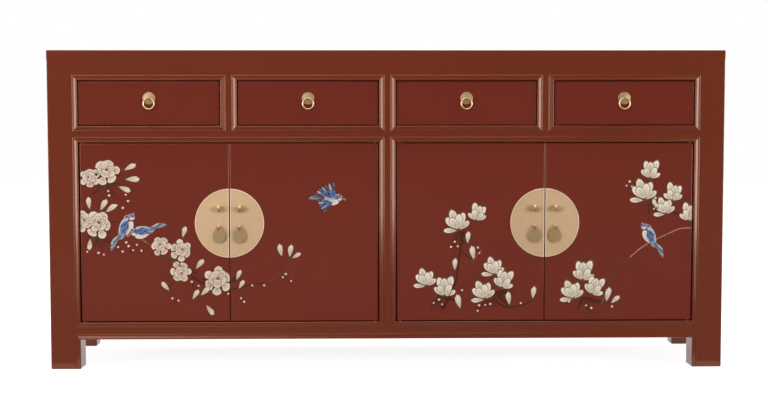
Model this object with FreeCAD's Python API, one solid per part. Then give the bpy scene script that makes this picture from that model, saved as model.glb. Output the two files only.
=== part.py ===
import FreeCAD, Part
import math
import os

Vector = FreeCAD.Vector

# Overall size of the cabinet
WIDTH = 1800.0
DEPTH = 400.0
HEIGHT = 850.0
DRAWERS = 4

# Front frame: end posts, uprights between the openings, and rails
END_POST_W = 80.0
END_POST_D = 56.0
MULLION_W = 44.0
FRAME_D = 46.0
LEG_CLEAR = 80.0
BOTTOM_RAIL_H = 46.0
MIDDLE_RAIL_H = 44.0
DRAWER_OPENING_H = 120.0
TOP_BAND_H = 80.0

# Rear posts, back rails and side rails
REAR_POST = 46.0
BACK_FRAME_D = 28.0
SIDE_FRAME_D = 28.0
SIDE_TOP_RAIL_H = 60.0
SIDE_RAIL_INSET = 2.0
BACK_STILE_W = 50.0

# Framed top with a floating panel
TOP_FRAME_W = 80.0
TOP_FRAME_T = 24.0
TOP_PANEL_T = 14.0
TOP_TONGUE_T = 6.0
TOP_PANEL_GAP = 0.6
TOP_BATTEN_W = 40.0
TOP_BATTEN_H = 20.0
TOP_BATTENS = 3

# Panels that float in grooves
PANEL_T = 9.0
PANEL_SETBACK = 6.0
GROOVE_DEPTH = 8.0
PANEL_ENTRY = 6.0

# Mortise and tenon joints
TENON_L = 24.0
TENON_SHOULDER = 8.0
TENON_T = 14.0
TENON_SETBACK = 18.0
STUB_L = 10.0
POST_STUB = 14.0
POST_STUB_W = 26.0
MITRE_DEPTH = 12.0

# Double beading worked on the edges round each opening
BEAD_W = 9.3
BEAD_PROUD = 3.3
QUIRK_W = 1.2
QUIRK_LEVEL = 0.5
FINE_BEAD_W = 4.0
FINE_BEAD_PROUD = 1.6

# Small roundings and chamfers
EDGE_ROUND = 2.0
FACE_ROUND = 2.4
FOOT_CHAMFER = 2.5
BRASS_ROUND = 0.5

# Doors on wooden pivot pins
RECESS = 2.0
DOOR_T = 22.0
DOOR_GAP = 2.0
MEETING_GAP = 1.6
HINGE_ROUND = 4.0
PIVOT_D = 11.0
PIVOT_SETBACK = 8.0
PIVOT_PLAY = 0.06
PIVOT_BOTTOM_L = 12.0
PIVOT_TOP_L = 12.0
SOCKET_SLACK = 2.0
DOOR_BATTEN_W = 44.0
DOOR_BATTEN_T = 16.0
DOOR_BATTEN_HOUSED = 6.0
DOOR_BATTEN_SPLAY = 3.0
DOOR_BATTEN_END = 34.0
DOOR_BATTEN_FROM_END = 72.0

# Drawers
DRAWER_GAP = 2.0
DRAWER_FRONT_T = 20.0
DRAWER_SIDE_T = 12.0
DRAWER_BOTTOM_T = 6.0
DRAWER_BOTTOM_UP = 8.0
DRAWER_HOUSING = 5.0
DRAWER_BACK_CLEAR = 13.0
DRAWER_HEADROOM = 8.0
TAILS = 3
TAIL_W = 14.0
TAIL_FLARE = 3.0
FRONT_TAIL_L = 12.0
RUNNER_T = 18.0
RUNNER_HOUSED = 6.0
RUNNER_LEDGE = 26.0
GUIDE_H = 30.0
END_GUIDE_W = 30.0

# Inside of the two compartments
FLOOR_T = 12.0
BEARER_W = 40.0
BEARER_H = 22.0
PARTITION_T = 18.0
SHELF_T = 16.0
SHELF_HEIGHT = 262.0
SHELF_BACK_FROM_FACE = 60.0
SHELF_BATTEN_W = 20.0
SHELF_BATTEN_H = 26.0

# Round brass lock plate, split at the seam between two doors
PLATE_R = 92.0
PLATE_T = 1.2
PLATE_SEAM = 1.8
PLATE_RIM_W = 2.6
PLATE_RIM_PROUD = 0.9
PLATE_FROM_HEAD = 215.0
FITTING_FROM_SEAM = 28.0

# Lock staple: a strap bent to a loop, for a sliding lock bar
STAPLE_UP = 40.0
STAPLE_R = 5.0
STAPLE_BAR = 2.8
STAPLE_W = 7.0
STAPLE_STEM = 7.0
STAPLE_TAIL = 12.0

# Teardrop pull and the eyelet that holds it
PULL_DOWN = 9.0
PULL_T = 2.5
PULL_BRIDGE = 4.0
PULL_HOLE_R = 4.5
PULL_R = 17.5
PULL_REACH = 26.0
PULL_EYE_R = 2.5
PULL_EYE_STEM = 4.2

# Drawer pull: ring, dished back plate and eyelet
RING_R = 14.25
RING_WIRE_R = 1.75
RING_EYE_R = 2.25
RING_EYE_STEM = 5.2
ROSE_R = 16.2
ROSE_RIM_W = 1.9
ROSE_RIM_PROUD = 1.9
ROSE_DISH = 1.0
ROSE_CROWN = 2.6
ROSE_ABOVE_MIDDLE = 13.0

# Split pins that hold the eyelets
EYE_BAR = 1.6
EYE_W = 3.0
EYE_TAIL = 9.0

# One overrun for every cut
OVERRUN = 1.0

# Places worked out from the sizes above
HARDWARE_PROUD = max(STAPLE_STEM + STAPLE_R + STAPLE_BAR - RECESS, BEAD_PROUD)
FRONT = HARDWARE_PROUD - (DEPTH + HARDWARE_PROUD) / 2
BACK = FRONT + DEPTH
SIDE = WIDTH / 2
BEAD_BAND = BEAD_W + QUIRK_W + FINE_BEAD_W
OPENING_W = (WIDTH - 2 * END_POST_W - (DRAWERS - 1) * MULLION_W) / DRAWERS
INNER = SIDE - END_POST_W
BAY_FLOOR = LEG_CLEAR + BOTTOM_RAIL_H
DRAWER_HEAD = HEIGHT - TOP_BAND_H
DRAWER_SILL = DRAWER_HEAD - DRAWER_OPENING_H
BAY_HEAD = DRAWER_SILL - MIDDLE_RAIL_H
CARCASS_TOP = HEIGHT - TOP_FRAME_T
DOOR_FACE = FRONT + RECESS
PIVOT_Y = DOOR_FACE + PIVOT_SETBACK
SEAM_X = (INNER + MULLION_W / 2) / 2
BACK_FACE = BACK - BACK_FRAME_D
SHELF_Z = BAY_FLOOR + SHELF_HEIGHT
LOCK_Z = BAY_HEAD - PLATE_FROM_HEAD


def box(x0, x1, y0, y1, z0, z1):
    return Part.makeBox(x1 - x0, y1 - y0, z1 - z0, Vector(x0, y0, z0))


def mirrored(shape):
    return shape.mirror(Vector(0, 0, 0), Vector(1, 0, 0))


def prism(points, way):
    loop = [Vector(*p) for p in points]
    face = Part.Face(Part.makePolygon(loop + loop[:1]))
    return face.extrude(Vector(*way))


def joined(first, *others):
    return first.fuse(list(others)).removeSplitter()


def rounded(shape, radius, keep):
    edges = [e for e in shape.Edges if keep(e.BoundBox)]
    return shape.makeFillet(radius, edges)


def lies_on(low, high, place):
    return abs(low - place) + abs(high - place) < QUIRK_LEVEL


def save(node, *solids):
    shape = solids[0] if len(solids) == 1 else Part.makeCompound(list(solids))
    shape.exportStep("parts/" + node + ".step")


def opening_left(index):
    return -INNER + index * (OPENING_W + MULLION_W)


# Beading: a bead with a round nose and a long slope, a quirk and a finer bead, with mitred ends
def bead_section(corner, outward):
    def at(out, proud):
        return corner + outward * out + Vector(0, -proud, 0)

    nose = BEAD_PROUD - QUIRK_LEVEL
    fall = nose / (BEAD_W - nose)
    shoulder = at(nose + nose * fall, QUIRK_LEVEL + nose * math.sqrt(1 - fall * fall))
    fine = BEAD_W + QUIRK_W
    fine_arc = Part.Arc(
        at(fine, QUIRK_LEVEL), at(fine + FINE_BEAD_W / 2, FINE_BEAD_PROUD), at(BEAD_BAND, QUIRK_LEVEL)
    )
    edges = [
        Part.makeLine(at(0, 0), at(0, QUIRK_LEVEL)),
        Part.Arc(at(0, QUIRK_LEVEL), at(nose, BEAD_PROUD), shoulder).toShape(),
        Part.makeLine(shoulder, at(BEAD_W, QUIRK_LEVEL)),
        Part.makeLine(at(BEAD_W, QUIRK_LEVEL), at(fine, QUIRK_LEVEL)),
        fine_arc.toShape(),
        Part.makeLine(at(BEAD_BAND, QUIRK_LEVEL), at(BEAD_BAND, 0)),
        Part.makeLine(at(BEAD_BAND, 0), at(0, 0)),
    ]
    return Part.Face(Part.Wire(edges))


def bead_run(start, end, outward, start_mitre=1, end_mitre=1):
    """One side of an opening, from corner to corner, with the key of wood behind its mitres."""
    along = (end - start).normalize()
    first = start - along * BEAD_BAND
    length = (end - start).Length + 2 * BEAD_BAND
    strip = bead_section(first, outward).extrude(along * length)
    outline = [
        start,
        end,
        end + (outward + along * end_mitre) * BEAD_BAND,
        start + (outward - along * start_mitre) * BEAD_BAND,
    ]
    face = Part.Face(Part.makePolygon(outline + outline[:1]))
    bead = strip.common(face.extrude(Vector(0, -BEAD_PROUD - OVERRUN, 0)))
    return [bead, face.extrude(Vector(0, MITRE_DEPTH, 0))]


def bead_sides(x0, x1, z0, z1):
    """The four sides of an opening, by the member that carries each."""
    low_left, low_right = Vector(x0, FRONT, z0), Vector(x1, FRONT, z0)
    top_left, top_right = Vector(x0, FRONT, z1), Vector(x1, FRONT, z1)
    return {
        "below": bead_run(low_left, low_right, Vector(0, 0, -1)),
        "above": bead_run(top_left, top_right, Vector(0, 0, 1)),
        "left": bead_run(low_left, top_left, Vector(-1, 0, 0)),
        "right": bead_run(low_right, top_right, Vector(1, 0, 0)),
    }


def drawer_opening(index):
    x = opening_left(index)
    return bead_sides(x, x + OPENING_W, DRAWER_SILL, DRAWER_HEAD)


def bay_opening(side):
    near, far = side * MULLION_W / 2, side * INNER
    return bead_sides(min(near, far), max(near, far), BAY_FLOOR, BAY_HEAD)


# Front frame
def rail(z0, z1, beads):
    body = box(-INNER, INNER, FRONT, FRONT + FRAME_D, z0, z1)
    y = FRONT + TENON_SETBACK
    ends = [INNER, -INNER - TENON_L]
    low, high = z0 + TENON_SHOULDER, z1 - TENON_SHOULDER
    tenons = [box(x, x + TENON_L, y, y + TENON_T, low, high) for x in ends]
    return joined(body, *tenons, *beads)


def upright(x, z0, z1, beads):
    half = MULLION_W / 2
    body = box(x - half, x + half, FRONT, FRONT + FRAME_D, z0, z1)
    y = FRONT + TENON_SETBACK
    wide = half - TENON_SHOULDER
    tenon = box(x - wide, x + wide, y, y + TENON_T, z0 - STUB_L, z1 + STUB_L)
    return joined(body, tenon, *beads)


def post_blank(x1, y0, y1):
    """A left post with its outer edges rounded and its foot chamfered."""
    body = box(-SIDE, x1, y0, y1, 0, CARCASS_TOP)
    body = rounded(body, EDGE_ROUND, lambda b: lies_on(b.XMin, b.XMax, -SIDE) and b.ZLength > LEG_CLEAR)
    foot_edges = [e for e in body.Edges if lies_on(e.BoundBox.ZMin, e.BoundBox.ZMax, 0)]
    return body.makeChamfer(FOOT_CHAMFER, foot_edges)


def front_post(beads):
    """The left post, which is also the front leg, with the beading down its inner edge."""
    body = post_blank(-INNER, FRONT, FRONT + END_POST_D)
    inset = (END_POST_W - POST_STUB_W) / 2
    stub = box(
        -SIDE + inset, -INNER - inset,
        FRONT + inset, FRONT + inset + TENON_T,
        CARCASS_TOP, CARCASS_TOP + POST_STUB,
    )
    return joined(body, stub, *beads)


def leg_bead():
    foot = Vector(-INNER, FRONT, FOOT_CHAMFER)
    head = Vector(-INNER, FRONT, LEG_CLEAR)
    return bead_run(foot, head, Vector(-1, 0, 0), start_mitre=0)


def rear_post():
    body = post_blank(-SIDE + REAR_POST, BACK - REAR_POST, BACK)
    inset = (REAR_POST - TENON_T) / 2
    stub = box(
        -SIDE + inset, -SIDE + REAR_POST - inset,
        BACK - REAR_POST + inset, BACK - inset,
        CARCASS_TOP, CARCASS_TOP + POST_STUB,
    )
    return joined(body, stub)


def front_frame():
    """Rails, uprights and left post. Each mortise is the tenon's own shape, cut from its neighbour."""
    drawers = [drawer_opening(i) for i in range(DRAWERS)]
    bays = [bay_opening(-1), bay_opening(1)]
    knee_left, knee_right = Vector(-INNER, FRONT, LEG_CLEAR), Vector(INNER, FRONT, LEG_CLEAR)
    knee = bead_run(knee_left, knee_right, Vector(0, 0, 1))
    dividers = []
    for i in range(DRAWERS - 1):
        x = opening_left(i) + OPENING_W + MULLION_W / 2
        beads = drawers[i]["right"] + drawers[i + 1]["left"]
        dividers.append(upright(x, DRAWER_SILL, DRAWER_HEAD, beads))
    post = upright(0, BAY_FLOOR, BAY_HEAD, bays[0]["right"] + bays[1]["left"])
    above = [bead for d in drawers for bead in d["above"]]
    below = [bead for d in drawers for bead in d["below"]]
    heads = [bead for b in bays for bead in b["above"]]
    sills = [bead for b in bays for bead in b["below"]]
    top = rail(DRAWER_HEAD, CARCASS_TOP, above).cut(dividers)
    middle = rail(BAY_HEAD, DRAWER_SILL, below + heads).cut(dividers + [post])
    bottom = rail(LEG_CLEAR, BAY_FLOOR, sills + knee).cut([post])
    end_beads = drawers[0]["left"] + bays[0]["left"] + leg_bead()
    end_post = front_post(end_beads).cut([top, middle, bottom])
    return dividers, post, top, middle, bottom, end_post


# Sides: two rails and a panel between the posts
SIDE_PANEL_X = -SIDE + PANEL_SETBACK
SIDE_OPENING = (FRONT + END_POST_D, BACK - REAR_POST, BAY_FLOOR, CARCASS_TOP - SIDE_TOP_RAIL_H)


def side_rail(z0, z1):
    x0, x1 = -SIDE + SIDE_RAIL_INSET, -SIDE + SIDE_RAIL_INSET + SIDE_FRAME_D
    y0, y1 = SIDE_OPENING[:2]
    body = box(x0, x1, y0, y1, z0, z1)
    x = (x0 + x1 - TENON_T) / 2
    low, high = z0 + TENON_SHOULDER, z1 - TENON_SHOULDER
    tenon = box(x, x + TENON_T, y0 - STUB_L, y1 + STUB_L, low, high)
    return joined(body, tenon)


def side_panel(reach):
    y0, y1, z0, z1 = SIDE_OPENING
    x = SIDE_PANEL_X
    return box(x, x + PANEL_T, y0 - reach, y1 + reach, z0 - reach, z1 + reach)


# Back: three rails, a stile in two lengths and four panels
BACK_PANEL_Y = BACK - PANEL_SETBACK - PANEL_T
REAR_INNER = SIDE - REAR_POST


def back_rail(z0, z1):
    body = box(-REAR_INNER, REAR_INNER, BACK_FACE, BACK, z0, z1)
    y = (BACK_FACE + BACK - TENON_T) / 2
    low, high = z0 + TENON_SHOULDER, z1 - TENON_SHOULDER
    tenon = box(-REAR_INNER - STUB_L, REAR_INNER + STUB_L, y, y + TENON_T, low, high)
    return joined(body, tenon)


def back_stile(z0, z1):
    half = BACK_STILE_W / 2
    body = box(-half, half, BACK_FACE, BACK, z0, z1)
    y = (BACK_FACE + BACK - TENON_T) / 2
    wide = half - TENON_SHOULDER
    return joined(body, box(-wide, wide, y, y + TENON_T, z0 - STUB_L, z1 + STUB_L))


def back_panel(z0, z1, reach):
    x0, x1 = -REAR_INNER, -BACK_STILE_W / 2
    y = BACK_PANEL_Y
    return box(x0 - reach, x1 + reach, y, y + PANEL_T, z0 - reach, z1 + reach)


def back_frame():
    stiles = [back_stile(BAY_FLOOR, BAY_HEAD), back_stile(DRAWER_SILL, DRAWER_HEAD)]
    heights = [(BAY_FLOOR, BAY_HEAD), (DRAWER_SILL, DRAWER_HEAD)]
    grooves = [back_panel(z0, z1, GROOVE_DEPTH) for z0, z1 in heights]
    grooves += [mirrored(g) for g in grooves]
    panels = [back_panel(z0, z1, PANEL_ENTRY) for z0, z1 in heights]
    panels += [mirrored(p) for p in panels]
    levels = [(LEG_CLEAR, BAY_FLOOR), (BAY_HEAD, DRAWER_SILL), (DRAWER_HEAD, CARCASS_TOP)]
    rails = [back_rail(z0, z1).cut(stiles + grooves) for z0, z1 in levels]
    stiles = [s.cut(grooves) for s in stiles]
    return rails, stiles, panels, grooves


# Top: a mitred frame, a floating panel flush with it and battens under the panel
def top_frame_member(length, shift):
    """A member along the front of a frame of that length, mitred at both ends."""
    half = length / 2
    outline = [
        (-half, shift, CARCASS_TOP),
        (half, shift, CARCASS_TOP),
        (half - TOP_FRAME_W, shift + TOP_FRAME_W, CARCASS_TOP),
        (-half + TOP_FRAME_W, shift + TOP_FRAME_W, CARCASS_TOP),
    ]
    member = prism(outline, (0, 0, TOP_FRAME_T))
    return rounded(
        member, EDGE_ROUND,
        lambda b: lies_on(b.YMin, b.YMax, shift) and lies_on(b.ZMin, b.ZMax, HEIGHT),
    )


def top_panel():
    x, y0, y1 = SIDE - TOP_FRAME_W, FRONT + TOP_FRAME_W, BACK - TOP_FRAME_W
    gap, reach = TOP_PANEL_GAP, PANEL_ENTRY
    low = HEIGHT - TOP_PANEL_T
    board = box(-x + gap, x - gap, y0 + gap, y1 - gap, low, HEIGHT)
    tongue = box(-x - reach, x + reach, y0 - reach, y1 + reach, low, low + TOP_TONGUE_T)
    return joined(board, tongue)


def top_groove():
    x, y0, y1 = SIDE - TOP_FRAME_W, FRONT + TOP_FRAME_W, BACK - TOP_FRAME_W
    reach, low = GROOVE_DEPTH, HEIGHT - TOP_PANEL_T
    return box(-x - reach, x + reach, y0 - reach, y1 + reach, low, low + TOP_TONGUE_T)


def top_battens():
    pitch = (WIDTH - 2 * TOP_FRAME_W) / (TOP_BATTENS + 1)
    high = HEIGHT - TOP_PANEL_T
    y0, y1 = FRONT + TOP_FRAME_W - STUB_L, BACK - TOP_FRAME_W + STUB_L
    made = []
    for i in range(TOP_BATTENS):
        x = (i - (TOP_BATTENS - 1) / 2) * pitch
        wide = TOP_BATTEN_W / 2
        made.append(box(x - wide, x + wide, y0, y1, high - TOP_BATTEN_H, high))
    return made


def turned_end(member):
    """A member made along the front, turned to lie along the left end."""
    turned = member.copy()
    turned.rotate(Vector(0, 0, 0), Vector(0, 0, 1), -90)
    return turned


def top_frame(posts):
    """The front and back members and the two ends, with their groove and mortises."""
    middle = (FRONT + BACK) / 2
    front = top_frame_member(WIDTH, FRONT)
    back = front.mirror(Vector(0, middle, 0), Vector(0, 1, 0))
    left = turned_end(top_frame_member(DEPTH, -SIDE))
    left.translate(Vector(0, middle, 0))
    cutters = [top_groove()] + top_battens() + posts
    return [m.cut(cutters) for m in (front, back, left, mirrored(left))]


# Inside: floor, partition, shelves and drawer runners
def floor_bearers():
    reach = SEAM_X - BEARER_W / 2
    places = [-INNER, -reach - BEARER_W, -BEARER_W / 2, reach, INNER - BEARER_W]
    top = BAY_FLOOR - FLOOR_T
    y0, y1 = FRONT + FRAME_D - RUNNER_HOUSED, BACK_FACE + RUNNER_HOUSED
    return [box(x, x + BEARER_W, y0, y1, top - BEARER_H, top) for x in places]


def floor_board(posts):
    end = SIDE - SIDE_RAIL_INSET - SIDE_FRAME_D
    board = box(-end, 0, FRONT + FRAME_D, BACK_FACE, BAY_FLOOR - FLOOR_T, BAY_FLOOR)
    return board.cut(posts)


def partition():
    half = PARTITION_T / 2
    return box(-half, half, FRONT + FRAME_D, BACK_FACE, BAY_FLOOR, DRAWER_SILL - RUNNER_T)


def shelf(posts):
    end = REAR_INNER + SHELF_BATTEN_W
    y0 = FRONT + SHELF_BACK_FROM_FACE
    board = box(-end, -PARTITION_T / 2, y0, BACK_FACE, SHELF_Z, SHELF_Z + SHELF_T)
    board = rounded(board, EDGE_ROUND, lambda b: lies_on(b.YMin, b.YMax, y0) and b.XLength > SHELF_T)
    return board.cut(posts)


def shelf_battens():
    """One between the left posts, and one on the left of the partition."""
    z0, z1 = SHELF_Z - SHELF_BATTEN_H, SHELF_Z
    y0, y1 = FRONT + END_POST_D - STUB_L, BACK - REAR_POST + STUB_L
    outer = box(-REAR_INNER - SHELF_BATTEN_W, -REAR_INNER, y0, y1, z0, z1)
    x = -PARTITION_T / 2
    y = FRONT + SHELF_BACK_FROM_FACE
    inner = box(x - SHELF_BATTEN_W, x, y, BACK_FACE, z0, z1)
    return [outer, inner]


def drawer_runners(posts):
    """A board under each line between drawers, and the guide on it that fills that line."""
    runners, guides = [], []
    y0, y1 = FRONT + FRAME_D, BACK_FACE
    for i in range(DRAWERS + 1):
        left = opening_left(i) - MULLION_W if i else -INNER - END_GUIDE_W
        right = opening_left(i) if i < DRAWERS else INNER + END_GUIDE_W
        ledge_left = RUNNER_LEDGE if i else 0
        ledge_right = RUNNER_LEDGE if i < DRAWERS else 0
        board = box(
            left - ledge_left, right + ledge_right,
            y0 - RUNNER_HOUSED, y1 + RUNNER_HOUSED,
            DRAWER_SILL - RUNNER_T, DRAWER_SILL,
        )
        guide = box(left, right, y0, y1, DRAWER_SILL, DRAWER_SILL + GUIDE_H)
        runners.append(board.cut(posts))
        guides.append(guide.cut(posts))
    return runners + guides


# Split pin: a strap bent to a loop, through the board and spread behind it
def split_pin(x, z, face, loop_r, bar, width, stem, grip, tail):
    outer = loop_r + bar

    def at(out, up):
        return Vector(x - width / 2, face - out, z + up)

    corners = [
        at(stem, -outer), at(-grip, -outer), at(-grip, -outer - tail), at(-grip - bar, -outer - tail),
        at(-grip - bar, -loop_r), at(stem, -loop_r),
    ]
    upper = [
        at(stem, loop_r), at(-grip - bar, loop_r), at(-grip - bar, outer + tail), at(-grip, outer + tail),
        at(-grip, outer), at(stem, outer),
    ]
    edges = [Part.makeLine(a, b) for a, b in zip(corners, corners[1:])]
    edges.append(Part.Arc(corners[-1], at(stem + loop_r, 0), upper[0]).toShape())
    edges += [Part.makeLine(a, b) for a, b in zip(upper, upper[1:])]
    edges.append(Part.Arc(upper[-1], at(stem + outer, 0), corners[0]).toShape())
    face_of_strap = Part.Face(Part.Wire(Part.sortEdges(edges)[0]))
    return face_of_strap.extrude(Vector(width, 0, 0))


# Doors
def door_leaf(side):
    """The leaf nearest the end post for side -1, or nearest the centre post for side 1."""
    edge = -INNER + DOOR_GAP if side < 0 else -MULLION_W / 2 - DOOR_GAP
    free = -SEAM_X + side * MEETING_GAP / 2
    hinge = edge - side * PIVOT_SETBACK
    low, high = BAY_FLOOR + DOOR_GAP, BAY_HEAD - DOOR_GAP
    leaf = box(min(edge, free), max(edge, free), DOOR_FACE, DOOR_FACE + DOOR_T, low, high)

    def is_hinge_edge(b):
        return lies_on(b.YMin, b.YMax, DOOR_FACE) and lies_on(b.XMin, b.XMax, edge)

    def is_face_edge(b):
        on_face = lies_on(b.YMin, b.YMax, DOOR_FACE)
        return on_face and (b.XLength > DOOR_T or lies_on(b.XMin, b.XMax, free))

    leaf = rounded(leaf, HINGE_ROUND, is_hinge_edge)
    leaf = rounded(leaf, FACE_ROUND, is_face_edge)
    foot = pivot_rod(hinge, PIVOT_D / 2, BAY_FLOOR - PIVOT_BOTTOM_L, low)
    head = pivot_rod(hinge, PIVOT_D / 2, high, BAY_HEAD + PIVOT_TOP_L)
    return joined(leaf, foot, head), hinge, free


def pivot_rod(hinge, radius, low, high):
    return Part.makeCylinder(radius, high - low, Vector(hinge, PIVOT_Y, low))


def pivot_sockets(hinge):
    radius = PIVOT_D / 2 + PIVOT_PLAY
    foot = pivot_rod(hinge, radius, BAY_FLOOR - PIVOT_BOTTOM_L, BAY_FLOOR + OVERRUN)
    head = pivot_rod(hinge, radius, BAY_HEAD - OVERRUN, BAY_HEAD + PIVOT_TOP_L + SOCKET_SLACK)
    return [foot, head]


def door_battens(hinge, free):
    """Two dovetailed battens let into the back of the leaf."""
    inward = 1 if free > hinge else -1
    start = hinge + inward * DOOR_BATTEN_END
    end = free - inward * DOOR_BATTEN_END
    back = DOOR_FACE + DOOR_T
    half, splay = DOOR_BATTEN_W / 2, DOOR_BATTEN_SPLAY
    inner, outer = back - DOOR_BATTEN_HOUSED, back + DOOR_BATTEN_T - DOOR_BATTEN_HOUSED
    made = []
    for z in (BAY_FLOOR + DOOR_BATTEN_FROM_END, BAY_HEAD - DOOR_BATTEN_FROM_END):
        outline = [
            (start, inner, z - half),
            (start, inner, z + half),
            (start, back, z + half - splay),
            (start, outer, z + half - splay),
            (start, outer, z - half + splay),
            (start, back, z - half + splay),
        ]
        made.append(prism(outline, (end - start, 0, 0)))
    return made


def half_disc(side, radius, inset, thick):
    """Half of a disc, with its straight edge the inset away from the seam."""
    disc = Part.makeCylinder(radius, thick, Vector(-SEAM_X, DOOR_FACE, LOCK_Z), Vector(0, -1, 0))
    edge = -SEAM_X + side * inset
    far = edge + side * PLATE_R
    keep = box(
        min(edge, far), max(edge, far),
        DOOR_FACE - thick, DOOR_FACE,
        LOCK_Z - PLATE_R, LOCK_Z + PLATE_R,
    )
    return disc.common(keep)


def lock_plate(side):
    """A half plate with a rolled rim round its curve and along the seam."""
    high = PLATE_T + PLATE_RIM_PROUD
    blank = half_disc(side, PLATE_R, PLATE_SEAM, high)
    blank = rounded(blank, BRASS_ROUND, lambda b: lies_on(b.YMin, b.YMax, DOOR_FACE - high))
    field = half_disc(side, PLATE_R - PLATE_RIM_W, PLATE_SEAM + PLATE_RIM_W, high + OVERRUN)
    field.translate(Vector(0, -PLATE_T, 0))
    return blank.cut(field)


def door_fittings(side):
    x = -SEAM_X + side * FITTING_FROM_SEAM
    staple = split_pin(
        x, LOCK_Z + STAPLE_UP, DOOR_FACE, STAPLE_R, STAPLE_BAR, STAPLE_W, STAPLE_STEM, DOOR_T, STAPLE_TAIL
    )
    eye = split_pin(
        x, LOCK_Z - PULL_DOWN, DOOR_FACE, PULL_EYE_R, EYE_BAR, EYE_W, PULL_EYE_STEM, DOOR_T, EYE_TAIL
    )
    return [staple, eye]


def teardrop_pull(side):
    """A flat drop hung by the bridge of metal above its hole."""
    x = -SEAM_X + side * FITTING_FROM_SEAM
    back = DOOR_FACE - PULL_EYE_STEM + PULL_T / 2
    pivot = LOCK_Z - PULL_DOWN
    hole_z = pivot - PULL_BRIDGE / 2 - PULL_HOLE_R
    lobe = PULL_HOLE_R + PULL_BRIDGE
    drop_z = pivot - PULL_REACH
    up = (PULL_R - lobe) / (hole_z - drop_z)
    out = math.sqrt(1 - up * up)

    def at(centre_z, radius, across, rise):
        return Vector(x + radius * across, back, centre_z + radius * rise)

    top = Part.Arc(at(hole_z, lobe, -out, up), at(hole_z, lobe, 0, 1), at(hole_z, lobe, out, up))
    drop = Part.Arc(at(drop_z, PULL_R, out, up), at(drop_z, PULL_R, 0, -1), at(drop_z, PULL_R, -out, up))
    right = Part.makeLine(at(hole_z, lobe, out, up), at(drop_z, PULL_R, out, up))
    left = Part.makeLine(at(drop_z, PULL_R, -out, up), at(hole_z, lobe, -out, up))
    wire = Part.Wire([top.toShape(), right, drop.toShape(), left])
    blank = Part.Face(wire).extrude(Vector(0, -PULL_T, 0))
    blank = rounded(blank, BRASS_ROUND, lambda b: b.YLength < PULL_T / 2)
    behind = Vector(x, back + OVERRUN, hole_z)
    hole = Part.makeCylinder(PULL_HOLE_R, PULL_T + 2 * OVERRUN, behind, Vector(0, -1, 0))
    return blank.cut(hole)


def door(side):
    """All the pieces of one left-hand door, and the cutters for its pivots."""
    leaf, hinge, free = door_leaf(side)
    battens = door_battens(hinge, free)
    fittings = door_fittings(side)
    leaf = leaf.cut(battens + fittings)
    plate = lock_plate(side).cut(fittings)
    sockets = pivot_sockets(hinge)
    return leaf, battens, [plate] + fittings, teardrop_pull(side), sockets


# Drawers
def dovetails(x, root, tip, low, high):
    """The tails on one end of a drawer side, which flare from root to tip."""
    pitch = (high - low) / TAILS
    narrow, wide = TAIL_W / 2, TAIL_W / 2 + TAIL_FLARE
    made = []
    for i in range(TAILS):
        z = low + (i + 1 / 2) * pitch
        outline = [(x, root, z - narrow), (x, root, z + narrow), (x, tip, z + wide), (x, tip, z - wide)]
        made.append(prism(outline, (DRAWER_SIDE_T, 0, 0)))
    return made


def drawer_side(x, y0, y1, low, high, bottom):
    """A side with tails that stop inside the front, and tails through the back."""
    body = box(x, x + DRAWER_SIDE_T, y0, y1 - DRAWER_SIDE_T, low, high)
    above = bottom.BoundBox.ZMax
    tails = dovetails(x, y0, y0 - FRONT_TAIL_L, above, high)
    tails += dovetails(x, y1 - DRAWER_SIDE_T, y1, above, high)
    return joined(body, *tails).cut(bottom)


def drawer_box(x0, x1):
    """Two dovetailed sides, a back and a bottom held in grooves."""
    y0 = DOOR_FACE + DRAWER_FRONT_T
    y1 = BACK_FACE - DRAWER_BACK_CLEAR
    low, high = DRAWER_SILL, DRAWER_HEAD - DRAWER_HEADROOM
    inset = DRAWER_SIDE_T - DRAWER_HOUSING
    base = DRAWER_SILL + DRAWER_BOTTOM_UP
    top = base + DRAWER_BOTTOM_T
    bottom = box(x0 + inset, x1 - inset, y0 - DRAWER_HOUSING, y1, base, top)
    left = drawer_side(x0, y0, y1, low, high, bottom)
    right = drawer_side(x1 - DRAWER_SIDE_T, y0, y1, low, high, bottom)
    back = box(x0, x1, y1 - DRAWER_SIDE_T, y1, top, high).cut([left, right])
    return left, right, back, bottom


def drawer_front(x0, x1):
    low, high = DRAWER_SILL + DRAWER_GAP, DRAWER_HEAD - DRAWER_GAP
    board = box(x0, x1, DOOR_FACE, DOOR_FACE + DRAWER_FRONT_T, low, high)
    return rounded(board, FACE_ROUND, lambda b: lies_on(b.YMin, b.YMax, DOOR_FACE))


def ring_height():
    return (DRAWER_SILL + DRAWER_HEAD) / 2 + ROSE_ABOVE_MIDDLE


def rose(x):
    """The dished round plate behind a drawer ring."""
    z = ring_height()

    def at(radius, out):
        return Vector(x + radius, DOOR_FACE - out, z)

    brim = ROSE_R - ROSE_RIM_W
    rim = Part.Arc(at(ROSE_R, 0), at(ROSE_R - ROSE_RIM_W / 2, ROSE_RIM_PROUD), at(brim, ROSE_DISH))
    swell = (ROSE_DISH + 2 * ROSE_CROWN) / 3
    crown = Part.Arc(at(brim, ROSE_DISH), at(brim / 2, swell), at(0, ROSE_CROWN))
    edges = [
        Part.makeLine(at(0, 0), at(ROSE_R, 0)),
        rim.toShape(),
        crown.toShape(),
        Part.makeLine(at(0, ROSE_CROWN), at(0, 0)),
    ]
    return Part.Face(Part.Wire(edges)).revolve(Vector(x, 0, z), Vector(0, 1, 0), 360)


def ring(x):
    z = ring_height() - RING_R
    return Part.makeTorus(RING_R, RING_WIRE_R, Vector(x, DOOR_FACE - RING_EYE_STEM, z), Vector(0, 1, 0))


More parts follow.
